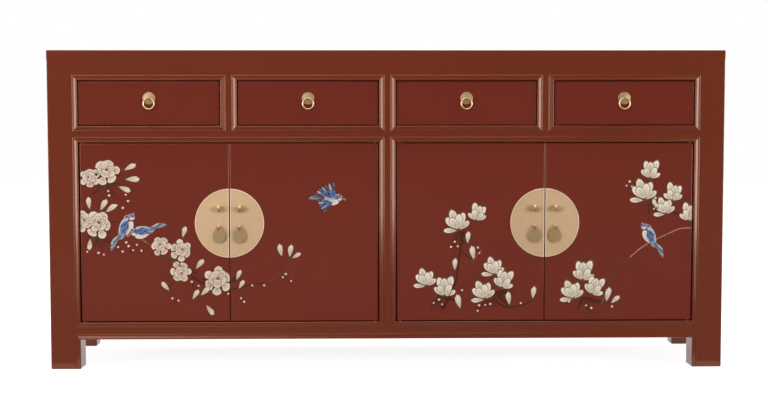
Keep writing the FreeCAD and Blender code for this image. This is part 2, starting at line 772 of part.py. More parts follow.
def drawer(index):
    x0 = opening_left(index) + DRAWER_GAP
    x1 = opening_left(index) + OPENING_W - DRAWER_GAP
    x = (x0 + x1) / 2
    sides = drawer_box(x0, x1)
    eye = split_pin(
        x, ring_height(), DOOR_FACE, RING_EYE_R, EYE_BAR, EYE_W, RING_EYE_STEM, DRAWER_FRONT_T, EYE_TAIL
    )
    front = drawer_front(x0, x1).cut([eye, sides[0], sides[1], sides[3]])
    return front, sides, [rose(x).cut(eye), eye], ring(x)


# Assembly
def build_doors():
    """Doors 1 and 2 are the left pair, and 3 and 4 are their mirror images."""
    sockets = []
    for number, side in ((1, -1), (2, 1)):
        leaf, battens, plate, pull, holes = door(side)
        sockets += holes + [mirrored(h) for h in holes]
        pieces = {"leaf": [leaf], "battens": battens, "lock_plate": plate, "pull": [pull]}
        for name, solids in pieces.items():
            save(f"door_{number}_{name}", *solids)
            save(f"door_{5 - number}_{name}", *[mirrored(s) for s in solids])
    return sockets


def build_drawers():
    for index in range(DRAWERS):
        front, sides, plate, pull = drawer(index)
        name = f"drawer_{index + 1}_"
        save(name + "front", front)
        save(name + "box", *sides)
        save(name + "pull_plate", *plate)
        save(name + "pull_ring", pull)


def build_inside(left_posts, bearers, runners, battens):
    posts = left_posts + [mirrored(p) for p in left_posts]
    board, shelf_board = floor_board(posts), shelf(posts)
    save("floor_boards", board, mirrored(board))
    save("floor_bearers", *bearers)
    save("partition", partition())
    save("shelf_left", shelf_board)
    save("shelf_right", mirrored(shelf_board))
    save("shelf_battens", *battens, *[mirrored(b) for b in battens])
    save("drawer_runners", *runners)


def build_carcass(sockets):
    dividers, centre, top, middle, bottom, front_left = front_frame()
    rails, stiles, panels, grooves = back_frame()
    rear_left = rear_post()
    sides = [side_rail(LEG_CLEAR, BAY_FLOOR), side_rail(SIDE_OPENING[3], CARCASS_TOP)]
    groove = side_panel(GROOVE_DEPTH)
    battens, bearers = shelf_battens(), floor_bearers()
    posts = [front_left, rear_left]
    runners = drawer_runners(posts + [mirrored(p) for p in posts])
    frame = top_frame(posts + [mirrored(p) for p in posts])
    front_left = front_left.cut(sides + [groove, battens[0]])
    rear_left = rear_left.cut(sides + rails + grooves + [groove, battens[0]])
    rails = [r.cut(runners + bearers) for r in rails]
    sides = [s.cut(groove) for s in sides]
    save("front_post_left", front_left)
    save("front_post_right", mirrored(front_left))
    save("rear_post_left", rear_left)
    save("rear_post_right", mirrored(rear_left))
    save("front_top_rail", top)
    save("front_middle_rail", middle.cut(runners + sockets))
    save("front_bottom_rail", bottom.cut(bearers + sockets))
    save("centre_post", centre)
    save("drawer_dividers", *dividers)
    save("top_frame_front", frame[0])
    save("top_frame_back", frame[1])
    save("top_frame_ends", *frame[2:])
    save("top_panel", top_panel())
    save("top_battens", *top_battens())
    save("side_rails_left", *sides)
    save("side_rails_right", *[mirrored(s) for s in sides])
    panel = side_panel(PANEL_ENTRY)
    save("side_panel_left", panel)
    save("side_panel_right", mirrored(panel))
    save("back_rails", *rails)
    save("back_stile", *stiles)
    save("back_panels", *panels)
    build_inside(posts, bearers, runners, battens)


os.makedirs("parts", exist_ok=True)
build_drawers()
build_carcass(build_doors())
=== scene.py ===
# %% [markdown]
# # A red lacquer sideboard with painted doors
# This script dresses a cabinet whose every board, tenon and brass fitting already exists as a solid.
# The solids come in as a fixed frame. Nothing here moves or resizes them: the script gives each one a
# finish, adds the painting on the doors, and sets up the light and the camera.

import math

import bmesh
import bpy
from mathutils import Matrix, Vector


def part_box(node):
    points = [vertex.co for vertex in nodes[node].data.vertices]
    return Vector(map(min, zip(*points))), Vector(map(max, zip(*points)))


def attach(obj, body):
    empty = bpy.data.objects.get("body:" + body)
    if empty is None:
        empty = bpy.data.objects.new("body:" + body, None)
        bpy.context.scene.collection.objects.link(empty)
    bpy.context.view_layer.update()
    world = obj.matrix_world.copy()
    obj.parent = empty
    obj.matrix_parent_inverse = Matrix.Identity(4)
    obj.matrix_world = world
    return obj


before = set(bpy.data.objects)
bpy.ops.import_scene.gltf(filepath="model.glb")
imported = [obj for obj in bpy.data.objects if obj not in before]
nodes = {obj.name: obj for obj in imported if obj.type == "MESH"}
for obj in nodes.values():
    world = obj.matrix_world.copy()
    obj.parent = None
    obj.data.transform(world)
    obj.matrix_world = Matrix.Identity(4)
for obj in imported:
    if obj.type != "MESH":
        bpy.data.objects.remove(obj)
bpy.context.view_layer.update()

# %% [markdown]
# ## Small helpers
# Sizes on a piece of furniture are read in millimetres, and Blender works in metres, so one function
# converts. Colours are picked as sRGB hex values, the way a paint card gives them, and a second function
# turns them into the linear values that a shader expects. A third adds a node to any node tree.

# %% Units, colours and nodes
def mm(value):
    return value / 1000


def paint(hex_colour):
    channels = [int(hex_colour[i:i + 2], 16) / 255 for i in (1, 3, 5)]
    linear = [c / 12.92 if c <= 0.04045 else ((c + 0.055) / 1.055) ** 2.4 for c in channels]
    return (*linear, 1.0)


def add_node(tree, kind, settings=None, links=None):
    """Adds a node, sets its properties and inputs, and links inputs to other nodes' outputs."""
    node = tree.nodes.new(kind)
    for name, value in (settings or {}).items():
        if isinstance(name, str) and hasattr(node, name):
            setattr(node, name, value)
        else:
            node.inputs[name].default_value = value
    for name, output in (links or {}).items():
        tree.links.new(output, node.inputs[name])
    return node


def new_material(name):
    material = bpy.data.materials.new(name)
    material.use_nodes = True
    material.node_tree.nodes.clear()
    return material, material.node_tree


def link_object(name, data):
    thing = bpy.data.objects.new(name, data)
    bpy.context.scene.collection.objects.link(thing)
    return thing


# %% [markdown]
# ## The camera
# The camera stood a little over three metres away, slightly left of the middle and 64 cm above the floor,
# and looked down by about three degrees. These values were worked out from the straight edges of the
# cabinet. A lens of 58 mm on a 36 mm sensor gives the same framing.

# %% Camera
CAMERA_PLACE = (mm(-64.9), mm(-3475.8), mm(640.3))
CAMERA_TURN = math.radians(0.970)
CAMERA_TILT = math.radians(3.369)
CAMERA_ROLL = math.radians(-0.048)
LENS = 57.80
SENSOR = 36.0


def place_camera():
    lens = bpy.data.cameras.new("camera")
    lens.lens = LENS
    lens.sensor_width = SENSOR
    camera = link_object("camera", lens)
    turn = Matrix.Rotation(-CAMERA_TURN, 4, "Z")
    tilt = Matrix.Rotation(math.pi / 2 - CAMERA_TILT, 4, "X")
    roll = Matrix.Rotation(CAMERA_ROLL, 4, "Z")
    camera.matrix_world = Matrix.Translation(CAMERA_PLACE) @ turn @ tilt @ roll
    bpy.context.scene.camera = camera


place_camera()
print("camera at", [round(v, 3) for v in CAMERA_PLACE], "lens", LENS)

# %% [markdown]
# ## A white studio
# The photograph has a pure white ground. The world is white where the camera, a reflection or glass
# looks at it, and a softer grey where it lights the wood, so that the white doesn't wash out the red.
# The floor works the same way: it adds a glow of its own to what the lamps give it, a little less under
# the cabinet than further away, so that it turns white without losing the shadow.

# %% World and floor
WORLD_LIGHT = 0.2
WHITE = (1.0, 1.0, 1.0, 1.0)
FLOOR_HALF = 12.0
FLOOR_TONE = "#C4C4C4"
GLOW_NEAR, GLOW_FAR = 0.86, 0.97
GLOW_FROM, GLOW_TO = 0.5, 2.6


def seen_directly(tree):
    """1 for rays from the camera, a reflection or glass, and 0 for light that falls on a surface."""
    ray = add_node(tree, "ShaderNodeLightPath")
    first = add_node(tree, "ShaderNodeMath", {"operation": "MAXIMUM"},
                     {0: ray.outputs["Is Camera Ray"], 1: ray.outputs["Is Glossy Ray"]})
    both = add_node(tree, "ShaderNodeMath", {"operation": "MAXIMUM"},
                    {0: first.outputs[0], 1: ray.outputs["Is Transmission Ray"]})
    return both.outputs[0]


def make_world():
    world = bpy.data.worlds.new("studio")
    world.use_nodes = True
    tree = world.node_tree
    tree.nodes.clear()
    lighting = add_node(tree, "ShaderNodeBackground", {"Color": WHITE, "Strength": WORLD_LIGHT})
    backdrop = add_node(tree, "ShaderNodeBackground", {"Color": WHITE, "Strength": 1.0})
    mix = add_node(tree, "ShaderNodeMixShader", None,
                   {0: seen_directly(tree), 1: lighting.outputs[0], 2: backdrop.outputs[0]})
    add_node(tree, "ShaderNodeOutputWorld", None, {"Surface": mix.outputs[0]})
    bpy.context.scene.world = world


def make_floor():
    material, tree = new_material("studio_paper")
    matt = add_node(tree, "ShaderNodeBsdfDiffuse", {"Color": paint(FLOOR_TONE)})
    place = add_node(tree, "ShaderNodeTexCoord").outputs["Object"]
    away = add_node(tree, "ShaderNodeVectorMath", {"operation": "LENGTH"}, {0: place})
    glow_here = add_node(tree, "ShaderNodeMapRange",
                         {"From Min": GLOW_FROM, "From Max": GLOW_TO,
                          "To Min": GLOW_NEAR, "To Max": GLOW_FAR},
                         {"Value": away.outputs["Value"]})
    strength = add_node(tree, "ShaderNodeMath", {"operation": "MULTIPLY"},
                        {0: seen_directly(tree), 1: glow_here.outputs[0]})
    glow = add_node(tree, "ShaderNodeEmission", {"Color": WHITE}, {"Strength": strength.outputs[0]})
    total = add_node(tree, "ShaderNodeAddShader", None, {0: matt.outputs[0], 1: glow.outputs[0]})
    add_node(tree, "ShaderNodeOutputMaterial", None, {"Surface": total.outputs[0]})
    sheet = bpy.data.meshes.new("floor")
    corners = [(x * FLOOR_HALF, y * FLOOR_HALF, 0) for x, y in ((-1, -1), (1, -1), (1, 1), (-1, 1))]
    sheet.from_pydata(corners, [], [(0, 1, 2, 3)])
    sheet.materials.append(material)
    link_object("floor", sheet)


bpy.context.scene.view_settings.view_transform = "Standard"
make_world()
make_floor()
print("studio: world light", WORLD_LIGHT, "floor glow", GLOW_NEAR, "to", GLOW_FAR)

# %% [markdown]
# ## A dull card for the flat fronts
# A glossy front shows whatever stands opposite it. A photographer who wants deep colour in the flat
# panels hangs a tall dull card there, so that neither they nor the slopes of the beading mirror the white
# room. It is a little lighter near the floor, whose white reaches the lower doors and the legs. Only
# reflections see it.

# %% Card
CARD_LOW, CARD_HIGH = 0.28, 0.12
CARD_FADE = 0.6
CARD_HALF = 2.1
CARD_LINE = [(-0.26, 0.003), (-3.2, 0.003), (-3.35, 0.2), (-3.4, 1.35), (-3.4, 5.5)]


def make_card():
    material, tree = new_material("dull_card")
    ray = add_node(tree, "ShaderNodeLightPath")
    clear = add_node(tree, "ShaderNodeBsdfTransparent")
    height = add_node(tree, "ShaderNodeSeparateXYZ", None,
                      {0: add_node(tree, "ShaderNodeTexCoord").outputs["Object"]}).outputs["Z"]
    tone = add_node(tree, "ShaderNodeMapRange",
                    {"From Max": CARD_FADE, "To Min": CARD_LOW, "To Max": CARD_HIGH}, {"Value": height})
    dull = add_node(tree, "ShaderNodeEmission", {"Color": WHITE}, {"Strength": tone.outputs[0]})
    mix = add_node(tree, "ShaderNodeMixShader", None,
                   {0: ray.outputs["Is Glossy Ray"], 1: clear.outputs[0], 2: dull.outputs[0]})
    add_node(tree, "ShaderNodeOutputMaterial", None, {"Surface": mix.outputs[0]})
    card = bpy.data.meshes.new("dull_card")
    points = [(side * CARD_HALF, y, z) for y, z in CARD_LINE for side in (-1, 1)]
    strips = [(2 * i, 2 * i + 1, 2 * i + 3, 2 * i + 2) for i in range(len(CARD_LINE) - 1)]
    card.from_pydata(points, [], strips)
    card.materials.append(material)
    link_object("dull_card", card)


make_card()
print("card tones", CARD_LOW, CARD_HIGH)

# %% [markdown]
# ## Soft lamps
# Lacquer shows its lamps as thin bright lines along every rounded edge. In the photograph each upright
# bead carries a line on its outer slope, and the lower beads are brightest in the left half. Two wide
# soft boxes far out at the sides light the upright beads, and they stand well back so that both ends of
# the cabinet get as much light as its middle. A third one, above and left of the middle, lights the
# lower beads, one straight over the cabinet lights its top, and one high behind it keeps the back from
# going dark. It hangs so high that the glossy top doesn't mirror it towards the front.

# %% Lamps
LAMPS = {
    "box_left": {"place": (-4.3, -2.7, 0.75), "aim": (0, 0, 0.45), "size": (3.0, 1.7), "watts": 111},
    "box_right": {"place": (4.3, -2.7, 0.75), "aim": (0, 0, 0.45), "size": (3.0, 1.7), "watts": 117},
    "box_above": {"place": (-1.2, -3.2, 2.0), "aim": (-0.4, 0, 0.4), "size": (2.0, 1.2), "watts": 32},
    "box_over": {"place": (-0.3, -0.5, 3.2), "aim": (-0.2, -0.1, 0.8), "size": (2.4, 1.2), "watts": 40},
    "box_behind": {"place": (0, 3.0, 3.6), "aim": (0, 0.2, 0.4), "size": (3.4, 1.8), "watts": 80},
}


def add_lamp(name, place, aim, size, watts):
    light = bpy.data.lights.new(name, "AREA")
    light.shape = "RECTANGLE"
    light.size, light.size_y = size
    light.energy = watts
    lamp = link_object(name, light)
    lamp.location = place
    lamp.rotation_euler = (Vector(aim) - Vector(place)).to_track_quat("-Z", "Y").to_euler()


for lamp_name, values in LAMPS.items():
    add_lamp(lamp_name, **values)
print("lamps:", ", ".join(LAMPS))

# %% [markdown]
# ## Sprayed lacquer
# The wood is elm under many thin coats of coloured lacquer, rubbed flat between coats and left glossy. The
# eye gets three things from that: an even, deep red-brown, a clear skin with sharp reflections, and a faint
# unevenness where the grain has pulled the film down. The grain is stretched along the board, with pores
# about 1.6 mm apart, and the film has slow waves some 90 mm long. Both are only a bump, a few hundredths of
# a millimetre high. The frame is a browner red than the doors and drawers. A lacquer film has an index of
# refraction of about 1.55, and a well polished one is smooth enough to keep the lines on the beading thin.

# %% Lacquer
FRAME_RED = ("#70301E", "#692C19")
FACE_RED = ("#712C21", "#6B281C")
AMBER = "#FFD8BE"
FILM_IOR = 1.55
GLOSS_LOW, GLOSS_HIGH = 0.10, 0.15
PORE_SPACING = mm(1.6)
GRAIN_STRETCH = 14
FILM_WAVE = mm(90)
COLOUR_CLOUD = mm(360)
PORE_BUMP = mm(0.02)
FILM_BUMP = mm(0.02)
ALONG_X, ALONG_Y, ALONG_Z = 0, 1, 2


def grain_mapping(tree, place, spacing, along, stretch):
    """Coordinates that are drawn out along the grain, which runs along axis 0, 1 or 2."""
    scale = [1 / spacing] * 3
    scale[along] /= stretch
    mapping = add_node(tree, "ShaderNodeMapping", {"Scale": scale}, {"Vector": place})
    return mapping.outputs["Vector"]


def lacquer(name, tones, along):
    material, tree = new_material(name)
    place = add_node(tree, "ShaderNodeTexCoord").outputs["Object"]
    clouds = add_node(tree, "ShaderNodeTexNoise", {"Scale": 1 / COLOUR_CLOUD, "Detail": 3.0},
                      {"Vector": place})
    tone = add_node(tree, "ShaderNodeMix", {"data_type": "RGBA", 6: paint(tones[0]), 7: paint(tones[1])},
                    {0: clouds.outputs["Fac"]})
    grain = grain_mapping(tree, place, PORE_SPACING, along, GRAIN_STRETCH)
    pores = add_node(tree, "ShaderNodeTexNoise", {"Scale": 1.0, "Detail": 2.0}, {"Vector": grain})
    film = add_node(tree, "ShaderNodeTexNoise", {"Scale": 1 / FILM_WAVE, "Detail": 1.0}, {"Vector": place})
    slow = add_node(tree, "ShaderNodeBump", {"Strength": 1.0, "Distance": FILM_BUMP},
                    {"Height": film.outputs["Fac"]})
    fine = add_node(tree, "ShaderNodeBump", {"Strength": 1.0, "Distance": PORE_BUMP},
                    {"Height": pores.outputs["Fac"], "Normal": slow.outputs[0]})
    gloss = add_node(tree, "ShaderNodeMapRange", {"To Min": GLOSS_LOW, "To Max": GLOSS_HIGH},
                     {"Value": clouds.outputs["Fac"]})
    skin = add_node(tree, "ShaderNodeBsdfPrincipled",
                    {"IOR": FILM_IOR, "Specular Tint": paint(AMBER)},
                    {"Base Color": tone.outputs[2], "Roughness": gloss.outputs[0], "Normal": fine.outputs[0]})
    add_node(tree, "ShaderNodeOutputMaterial", None, {"Surface": skin.outputs[0]})
    return material


frame_lacquer = [lacquer("frame_lacquer_" + axis, FRAME_RED, i) for i, axis in enumerate("xyz")]
face_lacquer = [lacquer("face_lacquer_" + axis, FACE_RED, i) for i, axis in enumerate("xyz")]
print("lacquers made, pores", PORE_SPACING, "m apart")

# %% [markdown]
# ## Plain elm inside
# Drawer boxes, shelves and runners are bare elm with one thin coat to seal it. Elm has broad, wavy growth
# rings and coarse pores in streaks. The rings are a distorted noise about 9 mm wide, stretched along the
# board, and the pores are a finer noise that is stretched even more.

# %% Bare elm
ELM_LIGHT = "#B8925F"
ELM_DARK = "#8E6438"
ELM_RING = mm(9)
RING_STRETCH = 10
ELM_PORE = mm(0.9)
PORE_STRETCH = 30
PORE_SHARE = 0.45
ALL_LIGHT, ALL_DARK = 0.45, 0.98
ELM_PORE_BUMP = mm(0.06)


def bare_elm(name, along):
    material, tree = new_material(name)
    place = add_node(tree, "ShaderNodeTexCoord").outputs["Object"]
    drawn = grain_mapping(tree, place, ELM_RING, along, RING_STRETCH)
    rings = add_node(tree, "ShaderNodeTexNoise", {"Scale": 0.7, "Detail": 3.0, "Distortion": 0.8},
                     {"Vector": drawn})
    streaks = grain_mapping(tree, place, ELM_PORE, along, PORE_STRETCH)
    pores = add_node(tree, "ShaderNodeTexNoise", {"Scale": 1.0, "Detail": 2.0}, {"Vector": streaks})
    both = add_node(tree, "ShaderNodeMath", {"operation": "MULTIPLY_ADD", 1: PORE_SHARE},
                    {0: pores.outputs["Fac"], 2: rings.outputs["Fac"]})
    spread = add_node(tree, "ShaderNodeMapRange", {"From Min": ALL_LIGHT, "From Max": ALL_DARK},
                      {"Value": both.outputs[0]})
    tone = add_node(tree, "ShaderNodeMix", {"data_type": "RGBA", 6: paint(ELM_LIGHT), 7: paint(ELM_DARK)},
                    {0: spread.outputs[0]})
    bump = add_node(tree, "ShaderNodeBump", {"Strength": 1.0, "Distance": ELM_PORE_BUMP},
                    {"Height": pores.outputs["Fac"]})
    skin = add_node(tree, "ShaderNodeBsdfPrincipled", {"IOR": 1.5, "Roughness": 0.5},
                    {"Base Color": tone.outputs[2], "Normal": bump.outputs[0]})
    add_node(tree, "ShaderNodeOutputMaterial", None, {"Surface": skin.outputs[0]})
    return material


elm = [bare_elm("bare_elm_" + axis, i) for i, axis in enumerate("xyz")]
print("elm made, rings", ELM_RING, "m wide")

# %% [markdown]
# ## Satin brass
# The lock plates are rolled sheet brass, rubbed with fine abrasive and clear coated, so they are pale, soft
# in their reflections and a little cloudy. Round the staple and behind the hanging pull the sheet is
# painted duller and browner, a painted shadow of the staple and the drop, and along its curve and seam it
# is painted paler, a painted highlight of the edges. The roses and drops are cast and waxed, and are
# darker. The drawer rings are drawn wire, kept bright by the hand. Metal keeps Blender's default index of
# refraction, and only its colour and roughness change.

# %% Brass
SHEET_BRASS = ("#ECCBA4", "#DEB78D")
CAST_BRASS = ("#C6A982", "#A88A60")
RING_BRASS = ("#F0D6AE", "#E2C092")
# The first colour here is a painted shadow for the plates, the second a painted highlight on their edges.
SHADOW_BROWN, HIGHLIGHT_PALE = "#A8875C", "#F8E0C6"
BRASS_CLOUD = mm(26)
DULL_BY, BRIGHT_BY = 0.08, 0.05
RUB_SPACING, RUB_STRETCH = mm(0.5), 20
RUB_BUMP = mm(0.008)
# Each painted shadow: its middle from the seam and the plate's middle, half its width and half its height, in
# mm.
STAPLE_AND_DROP_SHADOWS = ((29, 36, 24, 10), (24, -33, 20, 23))
SHADOW_CORE, SHADOW_EDGE = 0.55, 1.25
# Where the painted edge highlight begins and where it is full, measured from the plate's curve and from its
# seam.
CURVE_HIGHLIGHT = (mm(2.6), mm(1.56))
SEAM_HIGHLIGHT = (mm(4.68), mm(3.12))
plate_low, plate_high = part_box("door_1_lock_plate")
PLATE_Z = (plate_low[2] + plate_high[2]) / 2
PLATE_RADIUS = (plate_high[2] - plate_low[2]) / 2
SEAM_X = -(plate_high[0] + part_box("door_2_lock_plate")[0][0]) / 2


def plate_place(tree, place):
    """How far a point is from the seam, and up from the plate's middle, the same on all four halves."""
    parts = add_node(tree, "ShaderNodeSeparateXYZ", None, {0: place})
    from_middle = add_node(tree, "ShaderNodeMath", {"operation": "ABSOLUTE"}, {0: parts.outputs["X"]})
    from_seam = add_node(tree, "ShaderNodeMath", {"operation": "SUBTRACT", 1: SEAM_X},
                         {0: from_middle.outputs[0]})
    across = add_node(tree, "ShaderNodeMath", {"operation": "ABSOLUTE"}, {0: from_seam.outputs[0]})
    up = add_node(tree, "ShaderNodeMath", {"operation": "SUBTRACT", 1: PLATE_Z}, {0: parts.outputs["Z"]})
    here = add_node(tree, "ShaderNodeCombineXYZ", None, {"X": across.outputs[0], "Z": up.outputs[0]})
    return across.outputs[0], here.outputs[0]


def larger(tree, shares):
    first, second = shares
    return add_node(tree, "ShaderNodeMath", {"operation": "MAXIMUM"}, {0: first, 1: second}).outputs[0]


def painted_shadow_share(tree, here):
    """1 where a painted shadow darkens the sheet, round the staple and behind the drop, and 0 elsewhere."""
    shares = []
    for x, z, half_width, half_height in STAPLE_AND_DROP_SHADOWS:
        spot = add_node(tree, "ShaderNodeMapping",
                        {"vector_type": "TEXTURE", "Location": (mm(x), 0, mm(z)),
                         "Scale": (mm(half_width), 1, mm(half_height))}, {"Vector": here})
        away = add_node(tree, "ShaderNodeVectorMath", {"operation": "LENGTH"}, {0: spot.outputs[0]})
        painted_light = add_node(tree, "ShaderNodeMapRange",
                        {"interpolation_type": "SMOOTHSTEP", "From Min": SHADOW_CORE, "From Max": SHADOW_EDGE,
                         "To Min": 1.0, "To Max": 0.0}, {"Value": away.outputs["Value"]})
        shares.append(painted_light.outputs[0])
    return larger(tree, shares)


def rim_highlight_share(tree, across, here):
    """1 where a painted highlight lightens the edge, both along the curve and along the seam."""
    away = add_node(tree, "ShaderNodeVectorMath", {"operation": "LENGTH"}, {0: here}).outputs["Value"]
    ends = ((away, *(PLATE_RADIUS - inset for inset in CURVE_HIGHLIGHT)), (across, *SEAM_HIGHLIGHT))
    return larger(tree, [add_node(tree, "ShaderNodeMapRange", {"From Min": low, "From Max": high},
                                  {"Value": value}).outputs[0] for value, low, high in ends])


def brass(name, tones, roughness, painted_light=False):
    material, tree = new_material(name)
    place = add_node(tree, "ShaderNodeTexCoord").outputs["Object"]
    clouds = add_node(tree, "ShaderNodeTexNoise", {"Scale": 1 / BRASS_CLOUD, "Detail": 4.0},
                      {"Vector": place})
    tone = add_node(tree, "ShaderNodeMix", {"data_type": "RGBA", 6: paint(tones[0]), 7: paint(tones[1])},
                    {0: clouds.outputs["Fac"]}).outputs[2]
    # A painted shadow round the staple and behind the drop, then a painted highlight along the curve and
    # seam.
    if painted_light:
        across, here = plate_place(tree, place)
        clouded_shadow = add_node(tree, "ShaderNodeMath", {"operation": "MULTIPLY"},
                          {0: painted_shadow_share(tree, here), 1: clouds.outputs["Fac"]})
        tone = add_node(tree, "ShaderNodeMix", {"data_type": "RGBA", 7: paint(SHADOW_BROWN)},
                        {0: clouded_shadow.outputs[0], 6: tone}).outputs[2]
        # A painted highlight along the plate's curve and seam.
        tone = add_node(tree, "ShaderNodeMix", {"data_type": "RGBA", 7: paint(HIGHLIGHT_PALE)},
                        {0: rim_highlight_share(tree, across, here), 6: tone}).outputs[2]
    rub = grain_mapping(tree, place, RUB_SPACING, ALONG_X, RUB_STRETCH)
    scratches = add_node(tree, "ShaderNodeTexNoise", {"Scale": 1.0, "Detail": 1.0}, {"Vector": rub})
    bump = add_node(tree, "ShaderNodeBump", {"Strength": 1.0, "Distance": RUB_BUMP},
                    {"Height": scratches.outputs["Fac"]})
    gloss = add_node(tree, "ShaderNodeMapRange",
                     {"To Min": roughness - BRIGHT_BY, "To Max": roughness + DULL_BY},
                     {"Value": clouds.outputs["Fac"]})
    skin = add_node(tree, "ShaderNodeBsdfPrincipled", {"Metallic": 1.0},
                    {"Base Color": tone, "Roughness": gloss.outputs[0], "Normal": bump.outputs[0]})
    add_node(tree, "ShaderNodeOutputMaterial", None, {"Surface": skin.outputs[0]})
    return material


# The sheet brass carries the painted shadow and the painted edge highlight.
sheet_brass = brass("sheet_brass", SHEET_BRASS, 0.5, painted_light=True)
cast_brass = brass("cast_brass", CAST_BRASS, 0.5)
ring_brass = brass("ring_brass", RING_BRASS, 0.4)
print("brass made")

# %% [markdown]
# ## A finish for every piece
# Each solid gets the finish of the real one, with its grain along its own length.

# %% Dress the solids
PIECES = [
    (frame_lacquer[ALONG_X], "front_top_rail front_middle_rail front_bottom_rail top_frame_front"),
    (frame_lacquer[ALONG_X], "top_frame_back top_panel back_rails"),
    (frame_lacquer[ALONG_Y], "side_rails top_frame_ends"),
    (frame_lacquer[ALONG_Z], "front_post rear_post centre_post drawer_dividers"),
    (frame_lacquer[ALONG_Z], "side_panel back_stile back_panels"),
    (face_lacquer[ALONG_X], "front"),
    (face_lacquer[ALONG_Z], "leaf"),
    (elm[ALONG_X], "battens floor_boards shelf_left shelf_right"),
    (elm[ALONG_Y], "box floor_bearers shelf_battens drawer_runners top_battens"),
    (elm[ALONG_Z], "partition"),
    (sheet_brass, "lock_plate"),
    (cast_brass, "pull_plate pull"),
    (ring_brass, "pull_ring"),
]
FINISHES = {piece: finish for finish, pieces in PIECES for piece in pieces.split()}


def finish_of(node):
    """The finish under the node's own name, its name without a side, or its last words."""
    plain = node.removesuffix("_left").removesuffix("_right")
    last = node.split("_", 2)[-1]
    for name in (node, plain, last):
        if name in FINISHES:
            return FINISHES[name]
    raise KeyError(node)


for node_name, thing in nodes.items():
    thing.data.materials.clear()
    thing.data.materials.append(finish_of(node_name))
print("dressed", len(nodes), "solids")

# %% [markdown]
# ## The painting on the doors
# Cabinets of this kind carry birds among blossoms, an old and common subject in lacquer. The painter
# works with the doors shut, so that a flower may run over the seam, and builds the flowers up in thick
# shell white: each petal is a separate low pad of paint with a dark outline. So the painting here is a
# list of brush marks. Each mark has a kind, a foot, a direction, a size and a colour, and a few
# functions draw flowers, buds, leaves and birds from marks. A mark's layer says how thick it is: a
# higher layer lies over a lower one, as it does under the brush.

# %% Brush marks
LAYER_FIRST = mm(0.15)
LAYER_GROWTH = 1.15
CREAM = ("#D2BFA8", "#C6B197", "#DCC9B4")
PALE = ("#DACDB8", "#CDC1AA", "#E4D9C6")
LEAF_RED = ("#541A10", "#5E2014", "#4A170E")
HUSK, BERRY_PINK, FLOWER_EYE = "#5A4A36", "#E6C9BE", "#43321F"
BARK, PINK_BARK, RED_BARK, DARK_BARK = "#5B3626", "#B58474", "#6E3428", "#3E1408"
TWIG_RADIUS = mm(1.4)
marks = []
twigs = []


def mark(kind, place, turn, size, layer, colour):
    """A brush mark: foot (x, z) in mm, turn in degrees clockwise from up, size (width, length) in mm."""
    marks.append({"kind": kind, "place": place, "turn": turn, "size": size, "layer": layer, "colour": colour})


def twig(points, start, end, colour=DARK_BARK):
    """A line through points (x, z) in mm. Its radius at either end is that many times TWIG_RADIUS."""
    twigs.append({"points": points, "thick": (start, end), "colour": colour})


def step(place, turn, distance):
    """The point at a distance from a place, in a direction in degrees clockwise from up."""
    angle = math.radians(turn)
    return (place[0] + distance * math.sin(angle), place[1] + distance * math.cos(angle))


# %% [markdown]
# A double blossom has two rings of round petals and a heart of two more. The inner ones lean to one side,
# so that the flower looks past the viewer, and two short petals close over the lower edge of its dark eye
# like a cup. A magnolia is a goblet: long petals fan out from one foot, the back ones first, wide open or
# half closed. A bud is three narrow petals in a husk. Berries that stand close together hang on fine stems.

# %% Flowers
# A flower's sizes are shares of its radius or length. A ring: how many petals, where they start, their
# length, width and layer. A petal of the heart: turn, width, length, layer. One of the cup has its place to
# the side before that. A petal of a fan: turn, length, width, layer. A husk: how far down, and its length.
BLOSSOM_RINGS = ((6, 0.36, 0.66, 0.74, 0), (5, 0.12, 0.58, 0.64, 3))
HEART = ((-44, 0.38, 0.44, 6), (48, 0.38, 0.44, 7))
CUP = ((-0.33, 60, 0.30, 0.42, 12), (0.33, -62, 0.30, 0.44, 13))
EYE_DROP, EYE_SIZE, EYE_LAYER = 0.20, (0.30, 0.34), 11
CUP_DROP = 0.30
LEAN, TUCK = 0.16, 0.05
PETAL_SWELL, PETAL_PHASE = 0.13, 3.7
HUSK_SPREAD, HUSK_WIDTH, HUSK_LAYER = 24, 0.5, 5
OPEN_FAN = ((-76, 0.66, 0.25, 0), (62, 0.62, 0.27, 0), (-31, 0.80, 0.36, 1), (30, 0.84, 0.34, 2),
            (-6, 1.00, 0.40, 3), (16, 0.74, 0.34, 5), (-18, 0.66, 0.36, 7))
CLOSED_FAN = ((58, 0.56, 0.24, 0), (-50, 0.60, 0.27, 0), (-20, 0.92, 0.36, 1), (17, 1.00, 0.38, 2),
              (-4, 0.84, 0.38, 4), (24, 0.62, 0.30, 6), (-30, 0.56, 0.28, 7))
BUD_FAN = ((-8, 0.88, 0.22, 1), (7, 0.94, 0.21, 2), (0, 1.0, 0.23, 4))
FAN_FOOT, LONG_GOBLET = 0.04, 52
GOBLET_HUSK, BUD_HUSK = (0.05, 0.16), (0.07, 0.26)
BERRY, BERRY_SWELL, BERRY_PHASE, BERRY_LAYER = 7.0, 0.15, 2.9, 4
STEM_REACH, STEM_DROP, STEM_THICK = 24, 7, (0.7, 0.5)
LEAF_WIDTH, LEAF_LAYER = 0.26, -3


def shade_of(tones, number):
    return tones[number % len(tones)]


